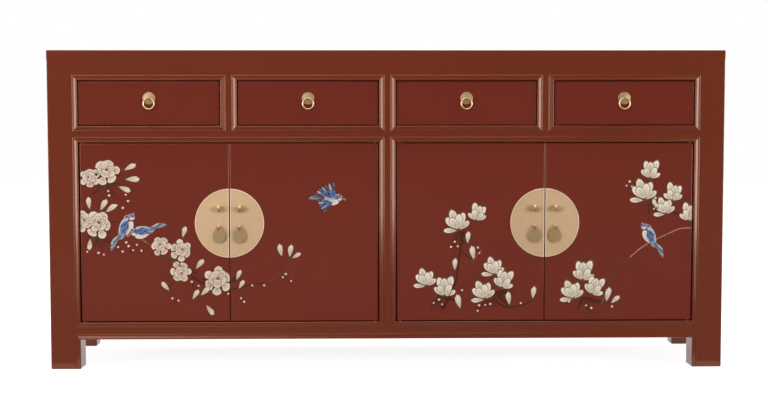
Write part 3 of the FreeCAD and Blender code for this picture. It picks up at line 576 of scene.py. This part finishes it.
def blossom(place, radius, turn):
    for ring, (count, start, length, width, layer) in enumerate(BLOSSOM_RINGS):
        middle = step(place, turn, LEAN * radius * ring)
        for i in range(count):
            way = turn + 360 * (i + 0.5 * ring) / count
            swell = 1 + PETAL_SWELL * math.sin(PETAL_PHASE * i + turn)
            size = (width * radius * swell, length * radius * (2 - swell))
            mark("round_petal", step(middle, way, (start - TUCK) * radius), way, size,
                 layer + i % 2 + (i == count - 1), shade_of(CREAM, i + ring))
    eye = step(place, turn, LEAN * radius)
    for i, (spread, width, length, layer) in enumerate(HEART):
        mark("round_petal", eye, turn + spread, (width * radius, length * radius), layer, shade_of(CREAM, i))
    mark("berry", step(eye, turn + 180, EYE_DROP * radius), turn,
         (EYE_SIZE[0] * radius, EYE_SIZE[1] * radius), EYE_LAYER, FLOWER_EYE)
    below = step(eye, turn + 180, CUP_DROP * radius)
    for i, (side, spread, width, length, layer) in enumerate(CUP):
        mark("round_petal", step(below, turn + 90, side * radius), turn + spread,
             (width * radius, length * radius), layer, shade_of(CREAM, i + 2))


def husk(place, length, turn, drop, share):
    """Two small leaves that hold the foot of a flower of this length."""
    size = share * length
    for side in (-1, 1):
        mark("leaf", step(place, turn + 180, drop * length), turn + HUSK_SPREAD * side,
             (HUSK_WIDTH * size, size), HUSK_LAYER + (side > 0), HUSK)


def magnolia(place, length, turn):
    fan, side = (OPEN_FAN, 1) if turn < 0 else (CLOSED_FAN, 1 if length > LONG_GOBLET else -1)
    for i, (spread, share, width, layer) in enumerate(fan):
        spread *= side
        size = (width * length, share * length)
        mark("long_petal", step(place, turn + spread, FAN_FOOT * length), turn + spread, size, layer,
             shade_of(PALE, i))
    husk(place, length, turn, *GOBLET_HUSK)


def bud(place, length, turn, tones=CREAM):
    for i, (spread, share, width, layer) in enumerate(BUD_FAN):
        size = (width * length, share * length)
        mark("long_petal", place, turn + spread, size, layer, shade_of(tones, i))
    husk(place, length, turn, *BUD_HUSK)


def berries(place, *offsets):
    spots = [(place[0] + dx, place[1] + dz) for dx, dz in offsets]
    for i, spot in enumerate(spots):
        size = BERRY * (1 + BERRY_SWELL * math.sin(BERRY_PHASE * i + place[0]))
        mark("berry", (spot[0], spot[1] - BERRY / 2), 0, (size, size), BERRY_LAYER, BERRY_PINK)
        if i and math.dist(spot, spots[i - 1]) < STEM_REACH:
            fork = ((spot[0] + spots[i - 1][0]) / 2, min(spot[1], spots[i - 1][1]) - STEM_DROP)
            twig([spots[i - 1], fork, spot], *STEM_THICK)


def leaves(place, *turns_and_lengths):
    for i, (turn, length) in enumerate(turns_and_lengths):
        mark("leaf", place, turn, (LEAF_WIDTH * length, length), LEAF_LAYER + i % 2, shade_of(LEAF_RED, i))


# %% [markdown]
# A bird is drawn once as a list of marks with its body one unit long and its beak to the right: the kind,
# foot, turn, width and length, layer and colour of each. Every bird on the doors then has its own place,
# size, tilt and side. Wings are short rows of feathers that lie over each other like roof tiles, dark ones
# first.

# %% Birds
NAVY, ROYAL, BLUE, SKY = "#131C34", "#124A9C", "#2468B2", "#6E9EC8"
MIST, CHALK, HORN, SLATE = "#B4B7BC", "#D6CCC2", "#231B19", "#5C5A60"
TAIL = [("feather", (-0.40, -0.05), -104 + 5 * i, (0.12, 0.84 - 0.08 * i), i, c)
        for i, c in enumerate((SLATE, MIST, NAVY, SLATE))]
BODY = [("round_petal", (-0.52, -0.12), 82, (0.46, 1.00), 4, CHALK),
        ("round_petal", (-0.46, 0.03), 72, (0.34, 0.92), 6, SKY)]
HEAD = [("long_petal", (0.50, 0.24), 96, (0.09, 0.22), 7, HORN),
        ("berry", (0.36, 0.06), 0, (0.40, 0.36), 8, ROYAL),
        ("berry", (0.42, 0.07), 0, (0.28, 0.15), 10, CHALK),
        ("long_petal", (0.55, 0.32), -82, (0.13, 0.34), 10, NAVY),
        ("long_petal", (0.56, 0.23), -88, (0.07, 0.26), 12, HORN),
        ("berry", (0.45, 0.205), 0, (0.06, 0.06), 14, MIST)]


def row(count, start, move, turn, turn_step, width, length, shorter, layer, colours):
    """A row of feathers, each a little further back and turned a little more than the one before."""
    return [("feather", (start[0] + move[0] * i, start[1] + move[1] * i), turn + turn_step * i,
             (width, length - shorter * i), layer + i % 3, colours[i % len(colours)]) for i in range(count)]


FOLDED_WING = row(6, (0.10, 0.02), (-0.08, 0.0), -116, 5, 0.10, 0.62, 0.0, 7, (SLATE, MIST, SLATE, NAVY))
FOLDED_WING += row(4, (0.26, 0.12), (-0.11, -0.02), -122, 6, 0.15, 0.38, 0.0, 10, (ROYAL, BLUE, ROYAL, SKY))
FOLDED_WING += row(3, (0.34, 0.20), (-0.12, 0.0), -112, 8, 0.14, 0.26, 0.0, 13, (BLUE, NAVY, ROYAL))
OPEN_WINGS = row(7, (0.16, 0.08), (-0.07, 0.0), -20, -11, 0.13, 0.96, 0.05, 5, (NAVY, MIST, NAVY, SKY))
OPEN_WINGS += row(5, (0.17, 0.08), (-0.08, 0.0), -22, -13, 0.17, 0.52, 0.0, 8, (ROYAL, BLUE, NAVY))
OPEN_WINGS += row(5, (0.12, -0.10), (-0.08, 0.0), -150, 11, 0.12, 0.72, 0.05, 5, (NAVY, SKY, NAVY, MIST))
OPEN_WINGS += row(4, (0.12, -0.04), (-0.09, 0.0), -142, 10, 0.15, 0.36, 0.0, 8, (ROYAL, BLUE))
PERCHED = TAIL + BODY + HEAD + FOLDED_WING
FLYING = TAIL + BODY + HEAD + OPEN_WINGS


def bird(feathers, place, size, tilt, side=1):
    """side 1 looks right and -1 left; tilt turns it clockwise, seen from the front."""
    cos, sin = math.cos(math.radians(tilt)), math.sin(math.radians(tilt))
    for kind, (x, z), turn, (width, length), layer, colour in feathers:
        x, turn = side * x, side * turn
        foot = (place[0] + size * (x * cos + z * sin), place[1] + size * (z * cos - x * sin))
        if kind == "berry":
            mark(kind, foot, 0, (size * width, size * length), layer, colour)
        else:
            mark(kind, foot, turn + tilt, (size * width, size * length), layer, colour)


# %% [markdown]
# ## Laying out the painting
# The left pair has full, round blossoms low and at the left edge, two birds on a branch and a third in
# flight. The right pair has magnolias in two groups and a single bird. Places are in millimetres from the
# cabinet's middle and from the floor. Twigs are lines through a few points, with a thickness at each end.

# %% Layout
def paint_left_pair():
    leaves((-748, 500), (150, 52), (195, 46), (100, 50), (230, 40))
    leaves((-770, 360), (120, 60), (165, 48), (200, 42), (75, 44))
    leaves((-560, 280), (25, 52), (115, 60), (215, 46), (160, 50))
    leaves((-455, 232), (80, 64), (30, 44), (140, 40), (285, 52))
    twig([(-782, 470), (-764, 492), (-742, 512), (-706, 520)], 1.8, 1.0)
    twig([(-800, 352), (-776, 372), (-740, 392), (-712, 398)], 2.0, 0.8)
    twig([(-676, 362), (-655, 345), (-632, 330), (-604, 306), (-572, 290), (-536, 262)], 1.2, 2.4, BARK)
    twig([(-676, 364), (-652, 347), (-626, 328)], 0.9, 0.5, PINK_BARK)
    twig([(-536, 262), (-505, 236), (-470, 222), (-420, 214), (-366, 226), (-318, 232)], 2.0, 0.7)
    twig([(-318, 232), (-296, 252), (-284, 286), (-280, 306)], 0.8, 0.6, RED_BARK)
    twig([(-296, 252), (-268, 268), (-248, 300)], 0.7, 0.5, RED_BARK)
    twig([(-560, 262), (-572, 232), (-590, 214)], 0.9, 0.6)
    twig([(-524, 250), (-520, 214), (-500, 184)], 0.9, 0.6)
    blossom((-790, 512), 28, 300)
    blossom((-748, 528), 38, 20)
    blossom((-812, 398), 30, 60)
    blossom((-772, 388), 40, 35)
    for place, length, turn in (((-700, 532), 38, 62), ((-698, 508), 42, 88), ((-716, 490), 38, 112),
                                ((-792, 428), 36, -6), ((-764, 424), 38, 28), ((-750, 420), 38, 52),
                                ((-792, 352), 34, 184)):
        bud(place, length, turn)
    blossom((-604, 330), 28, 330)
    blossom((-552, 318), 31, 55)
    blossom((-553, 262), 30, 150)
    blossom((-454, 236), 40, 5)
    for place, length, turn in (((-546, 352), 34, 14), ((-512, 268), 36, 38), ((-582, 210), 34, -42),
                                ((-500, 196), 36, 44), ((-522, 186), 34, 32), ((-486, 172), 36, 142),
                                ((-404, 238), 32, 22), ((-398, 214), 30, 30), ((-282, 300), 38, -12),
                                ((-262, 298), 38, 8), ((-256, 296), 30, 58)):
        bud(place, length, turn)
    berries((-742, 478), (0, 0), (2, -13), (46, -10), (52, -28), (22, -38), (38, -46))
    berries((-800, 316), (0, 0), (30, -4), (44, -8), (66, 22), (82, 12))
    berries((-690, 330), (0, 0), (12, -10), (-6, 10), (22, 4), (-16, -14), (34, -12))
    berries((-575, 190), (0, 0), (16, -6), (52, 44), (70, 34))
    berries((-392, 190), (0, 0), (8, -10), (-34, 12), (30, 34), (62, 34), (112, 56), (120, 64), (134, 46))
    bird(PERCHED, (-652, 366), 58, -30, -1)
    bird(PERCHED, (-696, 378), 62, -44, 1)
    bird(FLYING, (-150, 452), 52, 16, 1)


def paint_right_pair():
    leaves((192, 368), (160, 42), (205, 48), (120, 40))
    leaves((140, 196), (170, 44), (215, 46), (110, 52))
    leaves((292, 206), (140, 52), (190, 46), (95, 50), (240, 40))
    leaves((706, 452), (150, 48), (120, 62), (190, 44))
    leaves((526, 190), (110, 50), (150, 46), (205, 38))
    twig([(150, 160), (168, 200), (184, 238), (192, 300), (200, 352), (202, 374)], 2.2, 1.2)
    twig([(196, 320), (218, 296), (232, 288)], 1.0, 0.6)
    twig([(226, 288), (252, 318)], 0.6, 0.5, PINK_BARK)
    twig([(168, 200), (150, 206), (132, 200)], 1.4, 0.8)
    twig([(238, 160), (262, 176), (284, 182), (320, 164), (372, 172), (392, 190)], 1.8, 0.8)
    twig([(284, 182), (292, 200)], 1.6, 1.0)
    twig([(818, 376), (786, 374), (752, 360), (714, 342), (680, 322), (652, 298)], 1.0, 1.2, PINK_BARK)
    twig([(652, 298), (622, 270), (604, 240), (584, 200), (566, 150)], 1.2, 2.4, BARK)
    twig([(604, 242), (590, 208), (574, 168)], 0.9, 1.0, PINK_BARK)
    twig([(818, 392), (786, 408), (756, 424), (724, 446), (708, 470)], 1.8, 1.2)
    twig([(576, 178), (548, 184), (520, 190)], 1.4, 0.8)
    for place, length, turn in (((236, 396), 50, 14), ((190, 370), 60, -14), ((104, 220), 52, -10),
                                ((152, 192), 60, 4), ((286, 250), 52, -8), ((306, 214), 56, 16),
                                ((262, 184), 56, -18), ((702, 508), 54, 6), ((690, 450), 62, -12),
                                ((762, 448), 52, 10), ((746, 412), 50, -14), ((806, 394), 52, 8),
                                ((524, 234), 60, 6), ((500, 184), 56, -16), ((548, 196), 56, 22)):
        magnolia(place, length, turn)
    for place, length, turn in (((214, 334), 36, 4), ((232, 290), 42, -10), ((180, 262), 36, 2),
                                ((196, 158), 44, -14), ((328, 168), 40, -8), ((390, 184), 38, 6),
                                ((722, 428), 30, -22), ((588, 176), 44, 12), ((600, 172), 34, 48)):
        bud(place, length, turn, PALE)
    berries((170, 326), (0, 0), (10, 14), (18, 2), (72, -2), (76, -16))
    berries((124, 176), (0, 0), (14, 8), (22, -4), (104, 6), (76, 34))
    berries((246, 168), (0, 0), (16, 2), (30, 4), (-4, -14), (112, 6))
    berries((640, 490), (0, 0), (8, 10), (14, -2), (78, -34), (74, -62))
    berries((548, 160), (0, 0), (-14, 8), (56, 4), (-62, 34), (-70, 24), (-60, 18))
    bird(PERCHED, (702, 352), 58, 44, -1)


paint_left_pair()
paint_right_pair()
print(len(marks), "brush marks and", len(twigs), "twigs")

# %% [markdown]
# ## Paint with an outline
# Shell white is ground shell in a binder, laid on thick, and the birds' blues are ground azurite. Both dry
# a little duller than lacquer. Each pad carries three numbers at every corner: how near it is to the
# rim, how far along the mark it is, and how far across. From these the material draws a pale edge, a
# thin dark outline, a shaded foot and fine veins that spread from the foot, so the drawing follows the
# shape of each petal wherever it lies. The colour comes with each mark.

# %% Paint
FOOT_REACH = 0.6
EDGE_FROM, EDGE_TO = 0.45, 0.8
OUTLINE_FROM, OUTLINE_TO = 0.84, 0.89
VEIN_FAN = 0.35
VEIN_BUMP = mm(0.03)


def brushwork(name, edge, edge_depth, outline, foot, foot_depth, veins, vein_depth, roughness=0.38):
    material, tree = new_material(name)
    rim, along, across, colour = (add_node(tree, "ShaderNodeAttribute", {"attribute_name": n})
                                  for n in ("rim", "along", "across", "colour"))

    def share(value, low, high, start, end):
        return add_node(tree, "ShaderNodeMapRange",
                        {"From Min": low, "From Max": high, "To Min": start, "To Max": end},
                        {"Value": value}).outputs[0]

    def blend(factor, first, hex_colour, how="MIX"):
        return add_node(tree, "ShaderNodeMix", {"data_type": "RGBA", "blend_type": how, 7: paint(hex_colour)},
                        {0: factor, 6: first}).outputs[2]

    longer = add_node(tree, "ShaderNodeMath", {"operation": "ADD", 1: VEIN_FAN}, {0: along.outputs["Fac"]})
    fan = add_node(tree, "ShaderNodeMath", {"operation": "DIVIDE"},
                   {0: across.outputs["Fac"], 1: longer.outputs[0]})
    many = add_node(tree, "ShaderNodeMath", {"operation": "MULTIPLY", 1: veins}, {0: fan.outputs[0]})
    wave = add_node(tree, "ShaderNodeMath", {"operation": "SINE"}, {0: many.outputs[0]})
    shade = share(along.outputs["Fac"], 0.0, FOOT_REACH, foot_depth, 0.0)
    tone = blend(shade, colour.outputs["Color"], foot, "MULTIPLY")
    tone = blend(share(wave.outputs[0], 0.0, 1.0, 0.0, vein_depth), tone, foot, "MULTIPLY")
    tone = blend(share(rim.outputs["Fac"], EDGE_FROM, EDGE_TO, 0.0, edge_depth), tone, edge)
    tone = blend(share(rim.outputs["Fac"], OUTLINE_FROM, OUTLINE_TO, 0.0, 1.0), tone, outline)
    bump = add_node(tree, "ShaderNodeBump", {"Strength": 1.0, "Distance": VEIN_BUMP},
                    {"Height": wave.outputs[0]})
    skin = add_node(tree, "ShaderNodeBsdfPrincipled",
                    {"IOR": 1.5, "Roughness": roughness, "Specular Tint": paint(AMBER)},
                    {"Base Color": tone, "Normal": bump.outputs[0]})
    add_node(tree, "ShaderNodeOutputMaterial", None, {"Surface": skin.outputs[0]})
    return material


PAINTS = {
    "round_petal": brushwork("shell_white_round", "#EBD5C8", 0.8, "#4E3020", "#8A7450", 0.95, 26, 0.3),
    "long_petal": brushwork("shell_white_long", "#F4E7D8", 0.75, "#5C4A38", "#84754F", 0.95, 26, 0.35),
    "berry": brushwork("shell_white_dot", "#F4E0D8", 0.3, "#5A2E26", "#B08070", 0.3, 4, 0.0),
    "leaf": brushwork("maroon_wash", "#46160C", 0.6, "#34100A", "#8A6A5C", 0.4, 22, 0.3, 0.4),
    "feather": brushwork("azurite_blue", "#B4C0D4", 0.35, "#191C2C", "#3A4464", 0.6, 44, 0.5),
}
print("paints:", ", ".join(PAINTS))

# %% [markdown]
# ## One pad for each kind of mark
# A pad is a closed little cushion, one unit wide, long and thick: rings shrink from its outline to a
# middle point, and a flat back closes it. It has few faces, because hundreds of copies are made. The
# outline comes from a sine curve: one exponent moves the widest place along the petal, another makes
# its ends rounder or sharper.

# %% Pads
RIM_COUNT = 16
PAD_RINGS = ((1.0, 0.0), (0.96, 0.88), (0.74, 0.95), (0.38, 1.0))
PAD_SHAPES = {"round_petal": (1.35, 0.62), "long_petal": (1.6, 0.56), "berry": (1.0, 1.0),
              "leaf": (0.85, 1.35), "feather": (1.6, 0.7)}
VALUE_SLOTS = {"FLOAT": "value", "FLOAT_VECTOR": "vector", "FLOAT_COLOR": "color"}


def carry(mesh, name, kind, values):
    """Gives every point of a mesh a value of its own under a name."""
    mesh.attributes.new(name, kind, "POINT").data.foreach_set(VALUE_SLOTS[kind], values)


def pad_outline(shift, sharpness):
    """(x, z) around a mark one unit wide and long, from its foot over the right side to its tip and back."""
    for i in range(RIM_COUNT):
        turn = 2 * math.pi * i / RIM_COUNT
        along = (1 - math.cos(turn)) / 2
        half = 0.5 * max(math.sin(math.pi * along ** shift), 0) ** sharpness
        yield math.copysign(half, math.sin(turn)), along


def make_pad(kind):
    edge = list(pad_outline(*PAD_SHAPES[kind]))
    points, faces, rims = [], [], []
    for share, height in PAD_RINGS:
        points += [(share * x, -height, 0.5 + share * (z - 0.5)) for x, z in edge]
        rims += [share] * RIM_COUNT
    points.append((0, -1, 0.5))
    rims.append(0.0)
    for ring in range(len(PAD_RINGS) - 1):
        for i in range(RIM_COUNT):
            j = (i + 1) % RIM_COUNT
            low, high = ring * RIM_COUNT, (ring + 1) * RIM_COUNT
            faces.append((low + i, high + i, high + j, low + j))
    last = (len(PAD_RINGS) - 1) * RIM_COUNT
    faces += [(last + i, len(points) - 1, last + (i + 1) % RIM_COUNT) for i in range(RIM_COUNT)]
    faces.append(tuple(range(RIM_COUNT)))
    mesh = bpy.data.meshes.new("pad_" + kind)
    mesh.from_pydata(points, [], faces)
    carry(mesh, "rim", "FLOAT", rims)
    carry(mesh, "along", "FLOAT", [p[2] for p in points])
    carry(mesh, "across", "FLOAT", [2 * p[0] for p in points])
    tidy = bmesh.new()
    tidy.from_mesh(mesh)
    bmesh.ops.recalc_face_normals(tidy, faces=tidy.faces)
    tidy.to_mesh(mesh)
    tidy.free()
    return link_object("pad_" + kind, mesh)


pads = {kind: make_pad(kind) for kind in PAD_SHAPES}
print("pad faces:", len(pads["leaf"].data.polygons))

# %% [markdown]
# ## Scattering the pads
# A Geometry Nodes tree puts a pad on every point of a mesh, turned and scaled by values that each point
# carries. The tree ends in Realize Instances and Set Material, because an exported model keeps neither
# instances nor modifiers.

# %% Scatter tree
def new_tree(name, sockets):
    tree = bpy.data.node_groups.new(name, "GeometryNodeTree")
    tree.interface.new_socket(name="Geometry", in_out="INPUT", socket_type="NodeSocketGeometry")
    tree.interface.new_socket(name="Geometry", in_out="OUTPUT", socket_type="NodeSocketGeometry")
    for socket_name, kind in sockets.items():
        tree.interface.new_socket(name=socket_name, in_out="INPUT", socket_type=kind)
    return tree, add_node(tree, "NodeGroupInput").outputs


def close_tree(tree, geometry, finish):
    real = add_node(tree, "GeometryNodeRealizeInstances", None, {"Geometry": geometry})
    dressed = add_node(tree, "GeometryNodeSetMaterial", None,
                       {"Geometry": real.outputs[0], "Material": finish})
    add_node(tree, "NodeGroupOutput", None, {"Geometry": dressed.outputs[0]})
    return tree


def scatter_tree():
    tree, given = new_tree("scatter_marks", {"Pad": "NodeSocketObject", "Finish": "NodeSocketMaterial"})
    turn = add_node(tree, "GeometryNodeInputNamedAttribute", {"data_type": "FLOAT_VECTOR", "Name": "turn"})
    size = add_node(tree, "GeometryNodeInputNamedAttribute", {"data_type": "FLOAT_VECTOR", "Name": "size"})
    pad = add_node(tree, "GeometryNodeObjectInfo", None, {"Object": given["Pad"]})
    turned = add_node(tree, "FunctionNodeEulerToRotation", None, {0: turn.outputs[0]})
    copies = add_node(tree, "GeometryNodeInstanceOnPoints", None,
                      {"Points": given["Geometry"], "Instance": pad.outputs["Geometry"],
                       "Rotation": turned.outputs[0], "Scale": size.outputs[0]})
    return close_tree(tree, copies.outputs[0], given["Finish"])


def run_tree(name, mesh, tree, values):
    """A plain mesh of what the tree makes from a mesh. Inputs are set before the first evaluation."""
    source = link_object(name + "_source", mesh)
    modifier = source.modifiers.new("nodes", "NODES")
    modifier.node_group = tree
    for socket in tree.interface.items_tree:
        if socket.name in values:
            modifier[socket.identifier] = values[socket.name]
    graph = bpy.context.evaluated_depsgraph_get()
    made = bpy.data.meshes.new_from_object(source.evaluated_get(graph), preserve_all_data_layers=True,
                                           depsgraph=graph)
    source.modifiers.clear()
    bpy.data.objects.remove(source)
    return made


scatter = scatter_tree()
print("scatter tree:", len(scatter.nodes), "nodes")

# %% [markdown]
# ## Paint follows the leaf
# A door leaf is a board with softly rounded edges and a narrow gap to its neighbour. Paint that crosses an
# edge is cut there, and the part on the rounding is lowered by as much as the wood falls away. The edge
# with the pins is rounded more than the one at the seam. Two more cuts let the paint bend on the rounding.

# %% Fit to the leaf
HINGE_SIDE = {"door_1": -1, "door_2": 1, "door_3": -1, "door_4": 1}
HINGE_ROUND, SEAM_ROUND = mm(4.0), mm(2.4)
BENDS = (0.45, 1.0)
EDGE_KEPT = mm(0.3)
CUT_REACH = mm(0.001)


def leaf_sides(door):
    low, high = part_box(door + "_leaf")
    return {-1: low[0], 1: high[0]}


def leaf_face(door):
    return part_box(door + "_leaf")[0][1]


def cut(piece, x, side, clear):
    everything = list(piece.verts) + list(piece.edges) + list(piece.faces)
    made = bmesh.ops.bisect_plane(piece, geom=everything, dist=CUT_REACH, plane_co=(x, 0, 0),
                                  plane_no=(side, 0, 0), clear_outer=clear)
    if clear:
        rims = [e for e in made["geom_cut"] if isinstance(e, bmesh.types.BMEdge)]
        bmesh.ops.holes_fill(piece, edges=rims, sides=0)


def fit_to_leaf(mesh, door):
    piece = bmesh.new()
    piece.from_mesh(mesh)
    for side, edge in leaf_sides(door).items():
        radius = HINGE_ROUND if side == HINGE_SIDE[door] else SEAM_ROUND
        cut(piece, edge - side * EDGE_KEPT, side, True)
        for share in BENDS:
            cut(piece, edge - side * share * radius, side, False)
        for vert in piece.verts:
            inside = side * (edge - vert.co.x)
            if inside < radius:
                vert.co.y += radius - math.sqrt(radius ** 2 - (radius - inside) ** 2)
    piece.to_mesh(mesh)
    piece.free()
    return len(mesh.polygons)


def add_paint(name, mesh, door):
    if fit_to_leaf(mesh, door):
        piece = link_object(name, mesh)
        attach(piece, door)
        return len(mesh.polygons)
    return 0


# %% [markdown]
# Every door gets one mesh for each kind of mark. A mark at a seam is set on both leaves, and each of them
# keeps what lies on its own side of the cut, so that a flower parts when a door opens.

# %% Paint the marks
def marks_mesh(kind, door):
    """One point for every mark of a kind that touches the leaf, with its turn, size and colour."""
    sides, face = leaf_sides(door), leaf_face(door)
    near = [m for m in marks if m["kind"] == kind
            and mm(m["place"][0] - m["size"][1]) < sides[1] and mm(m["place"][0] + m["size"][1]) > sides[-1]]
    mesh = bpy.data.meshes.new(door + kind)
    mesh.from_pydata([(mm(m["place"][0]), face, mm(m["place"][1])) for m in near], [], [])
    sizes = [v for m in near for v in (mm(m["size"][0]), LAYER_FIRST * LAYER_GROWTH ** m["layer"],
                                       mm(m["size"][1]))]
    carry(mesh, "turn", "FLOAT_VECTOR", [v for m in near for v in (0, math.radians(m["turn"]), 0)])
    carry(mesh, "size", "FLOAT_VECTOR", sizes)
    carry(mesh, "colour", "FLOAT_COLOR", [v for m in near for v in paint(m["colour"])])
    return mesh


for door in HINGE_SIDE:
    counts = {}
    for kind, pad in pads.items():
        painted = run_tree(door + kind, marks_mesh(kind, door), scatter, {"Pad": pad, "Finish": PAINTS[kind]})
        counts[kind] = add_paint(f"{door}_{kind}s", painted, door)
    print(door, counts)
for pad in pads.values():
    bpy.data.objects.remove(pad)

# %% [markdown]
# ## Twigs
# A twig is a loaded brush drawn along a line: round on top and thinner towards its end. Here it is a
# smooth curve through a few points with a round section. Its front half is pressed low and its back half
# flat on the door.

# %% Twig tree
TWIG_RELIEF = 0.06
LOAD_SPOT = mm(5)
LOAD_FROM, LOAD_TO, LOAD_DEPTH = 0.42, 0.62, 0.6
BARK_SHADE = "#6A5048"


def twig_tree():
    tree, given = new_tree("draw_twigs", {"Radius": "NodeSocketFloat", "Relief": "NodeSocketFloat",
                                          "Finish": "NodeSocketMaterial"})
    thick = add_node(tree, "GeometryNodeInputNamedAttribute", {"data_type": "FLOAT", "Name": "thick"})
    line = add_node(tree, "GeometryNodeMeshToCurve", None, {"Mesh": given["Geometry"]})
    bent = add_node(tree, "GeometryNodeCurveSplineType", {"spline_type": "CATMULL_ROM"},
                    {"Curve": line.outputs[0]})
    fine = add_node(tree, "GeometryNodeSetSplineResolution", {"Resolution": 6}, {"Geometry": bent.outputs[0]})
    ring = add_node(tree, "GeometryNodeCurvePrimitiveCircle", {"Resolution": 8}, {"Radius": given["Radius"]})
    tube = add_node(tree, "GeometryNodeCurveToMesh", {"Fill Caps": True},
                    {"Curve": fine.outputs[0], "Profile Curve": ring.outputs[0], "Scale": thick.outputs[0]})
    place = add_node(tree, "GeometryNodeInputPosition")
    parts = add_node(tree, "ShaderNodeSeparateXYZ", None, {0: place.outputs[0]})
    front = add_node(tree, "ShaderNodeMath", {"operation": "MINIMUM", 1: 0.0}, {0: parts.outputs["Y"]})
    low = add_node(tree, "ShaderNodeMath", {"operation": "MULTIPLY"},
                   {0: front.outputs[0], 1: given["Relief"]})
    moved = add_node(tree, "ShaderNodeCombineXYZ", None,
                     {"X": parts.outputs["X"], "Y": low.outputs[0], "Z": parts.outputs["Z"]})
    pressed = add_node(tree, "GeometryNodeSetPosition", None,
                       {"Geometry": tube.outputs[0], "Position": moved.outputs[0]})
    return close_tree(tree, pressed.outputs[0], given["Finish"])


def twigs_mesh(door):
    """Lines with a thickness and a colour at every point, for the twigs that touch the leaf."""
    sides, points, edges, thick, colours = leaf_sides(door), [], [], [], []
    for t in twigs:
        line = t["points"]
        if max(mm(x) for x, z in line) < sides[-1] or min(mm(x) for x, z in line) > sides[1]:
            continue
        first = len(points)
        points += [(mm(x), 0, mm(z)) for x, z in line]
        edges += [(first + i, first + i + 1) for i in range(len(line) - 1)]
        start, end = t["thick"]
        thick += [start + (end - start) * i / (len(line) - 1) for i in range(len(line))]
        colours += [v for _ in line for v in paint(t["colour"])]
    mesh = bpy.data.meshes.new(door + "_twig_lines")
    mesh.from_pydata(points, edges, [])
    carry(mesh, "thick", "FLOAT", thick)
    carry(mesh, "colour", "FLOAT_COLOR", colours)
    return mesh


def bark_paint():
    """Ink and lacquer mixed: brown, with the brush's uneven load along the line."""
    material, tree = new_material("bark_wash")
    colour = add_node(tree, "ShaderNodeAttribute", {"attribute_name": "colour"})
    place = add_node(tree, "ShaderNodeTexCoord").outputs["Object"]
    load = add_node(tree, "ShaderNodeTexNoise", {"Scale": 1 / LOAD_SPOT, "Detail": 3.0}, {"Vector": place})
    dark = add_node(tree, "ShaderNodeMapRange",
                    {"From Min": LOAD_FROM, "From Max": LOAD_TO, "To Max": LOAD_DEPTH},
                    {"Value": load.outputs["Fac"]})
    tone = add_node(tree, "ShaderNodeMix",
                    {"data_type": "RGBA", "blend_type": "MULTIPLY", 7: paint(BARK_SHADE)},
                    {0: dark.outputs[0], 6: colour.outputs["Color"]})
    skin = add_node(tree, "ShaderNodeBsdfPrincipled",
                    {"IOR": 1.5, "Roughness": 0.4, "Specular Tint": paint(AMBER)},
                    {"Base Color": tone.outputs[2]})
    add_node(tree, "ShaderNodeOutputMaterial", None, {"Surface": skin.outputs[0]})
    return material


draw_twigs = twig_tree()
bark = bark_paint()
for door in HINGE_SIDE:
    drawn = run_tree(door + "_twigs", twigs_mesh(door), draw_twigs,
                     {"Radius": TWIG_RADIUS, "Relief": TWIG_RELIEF, "Finish": bark})
    drawn.transform(Matrix.Translation((0, leaf_face(door), 0)))
    print(door, "twig faces:", add_paint(door + "_twigs", drawn, door))
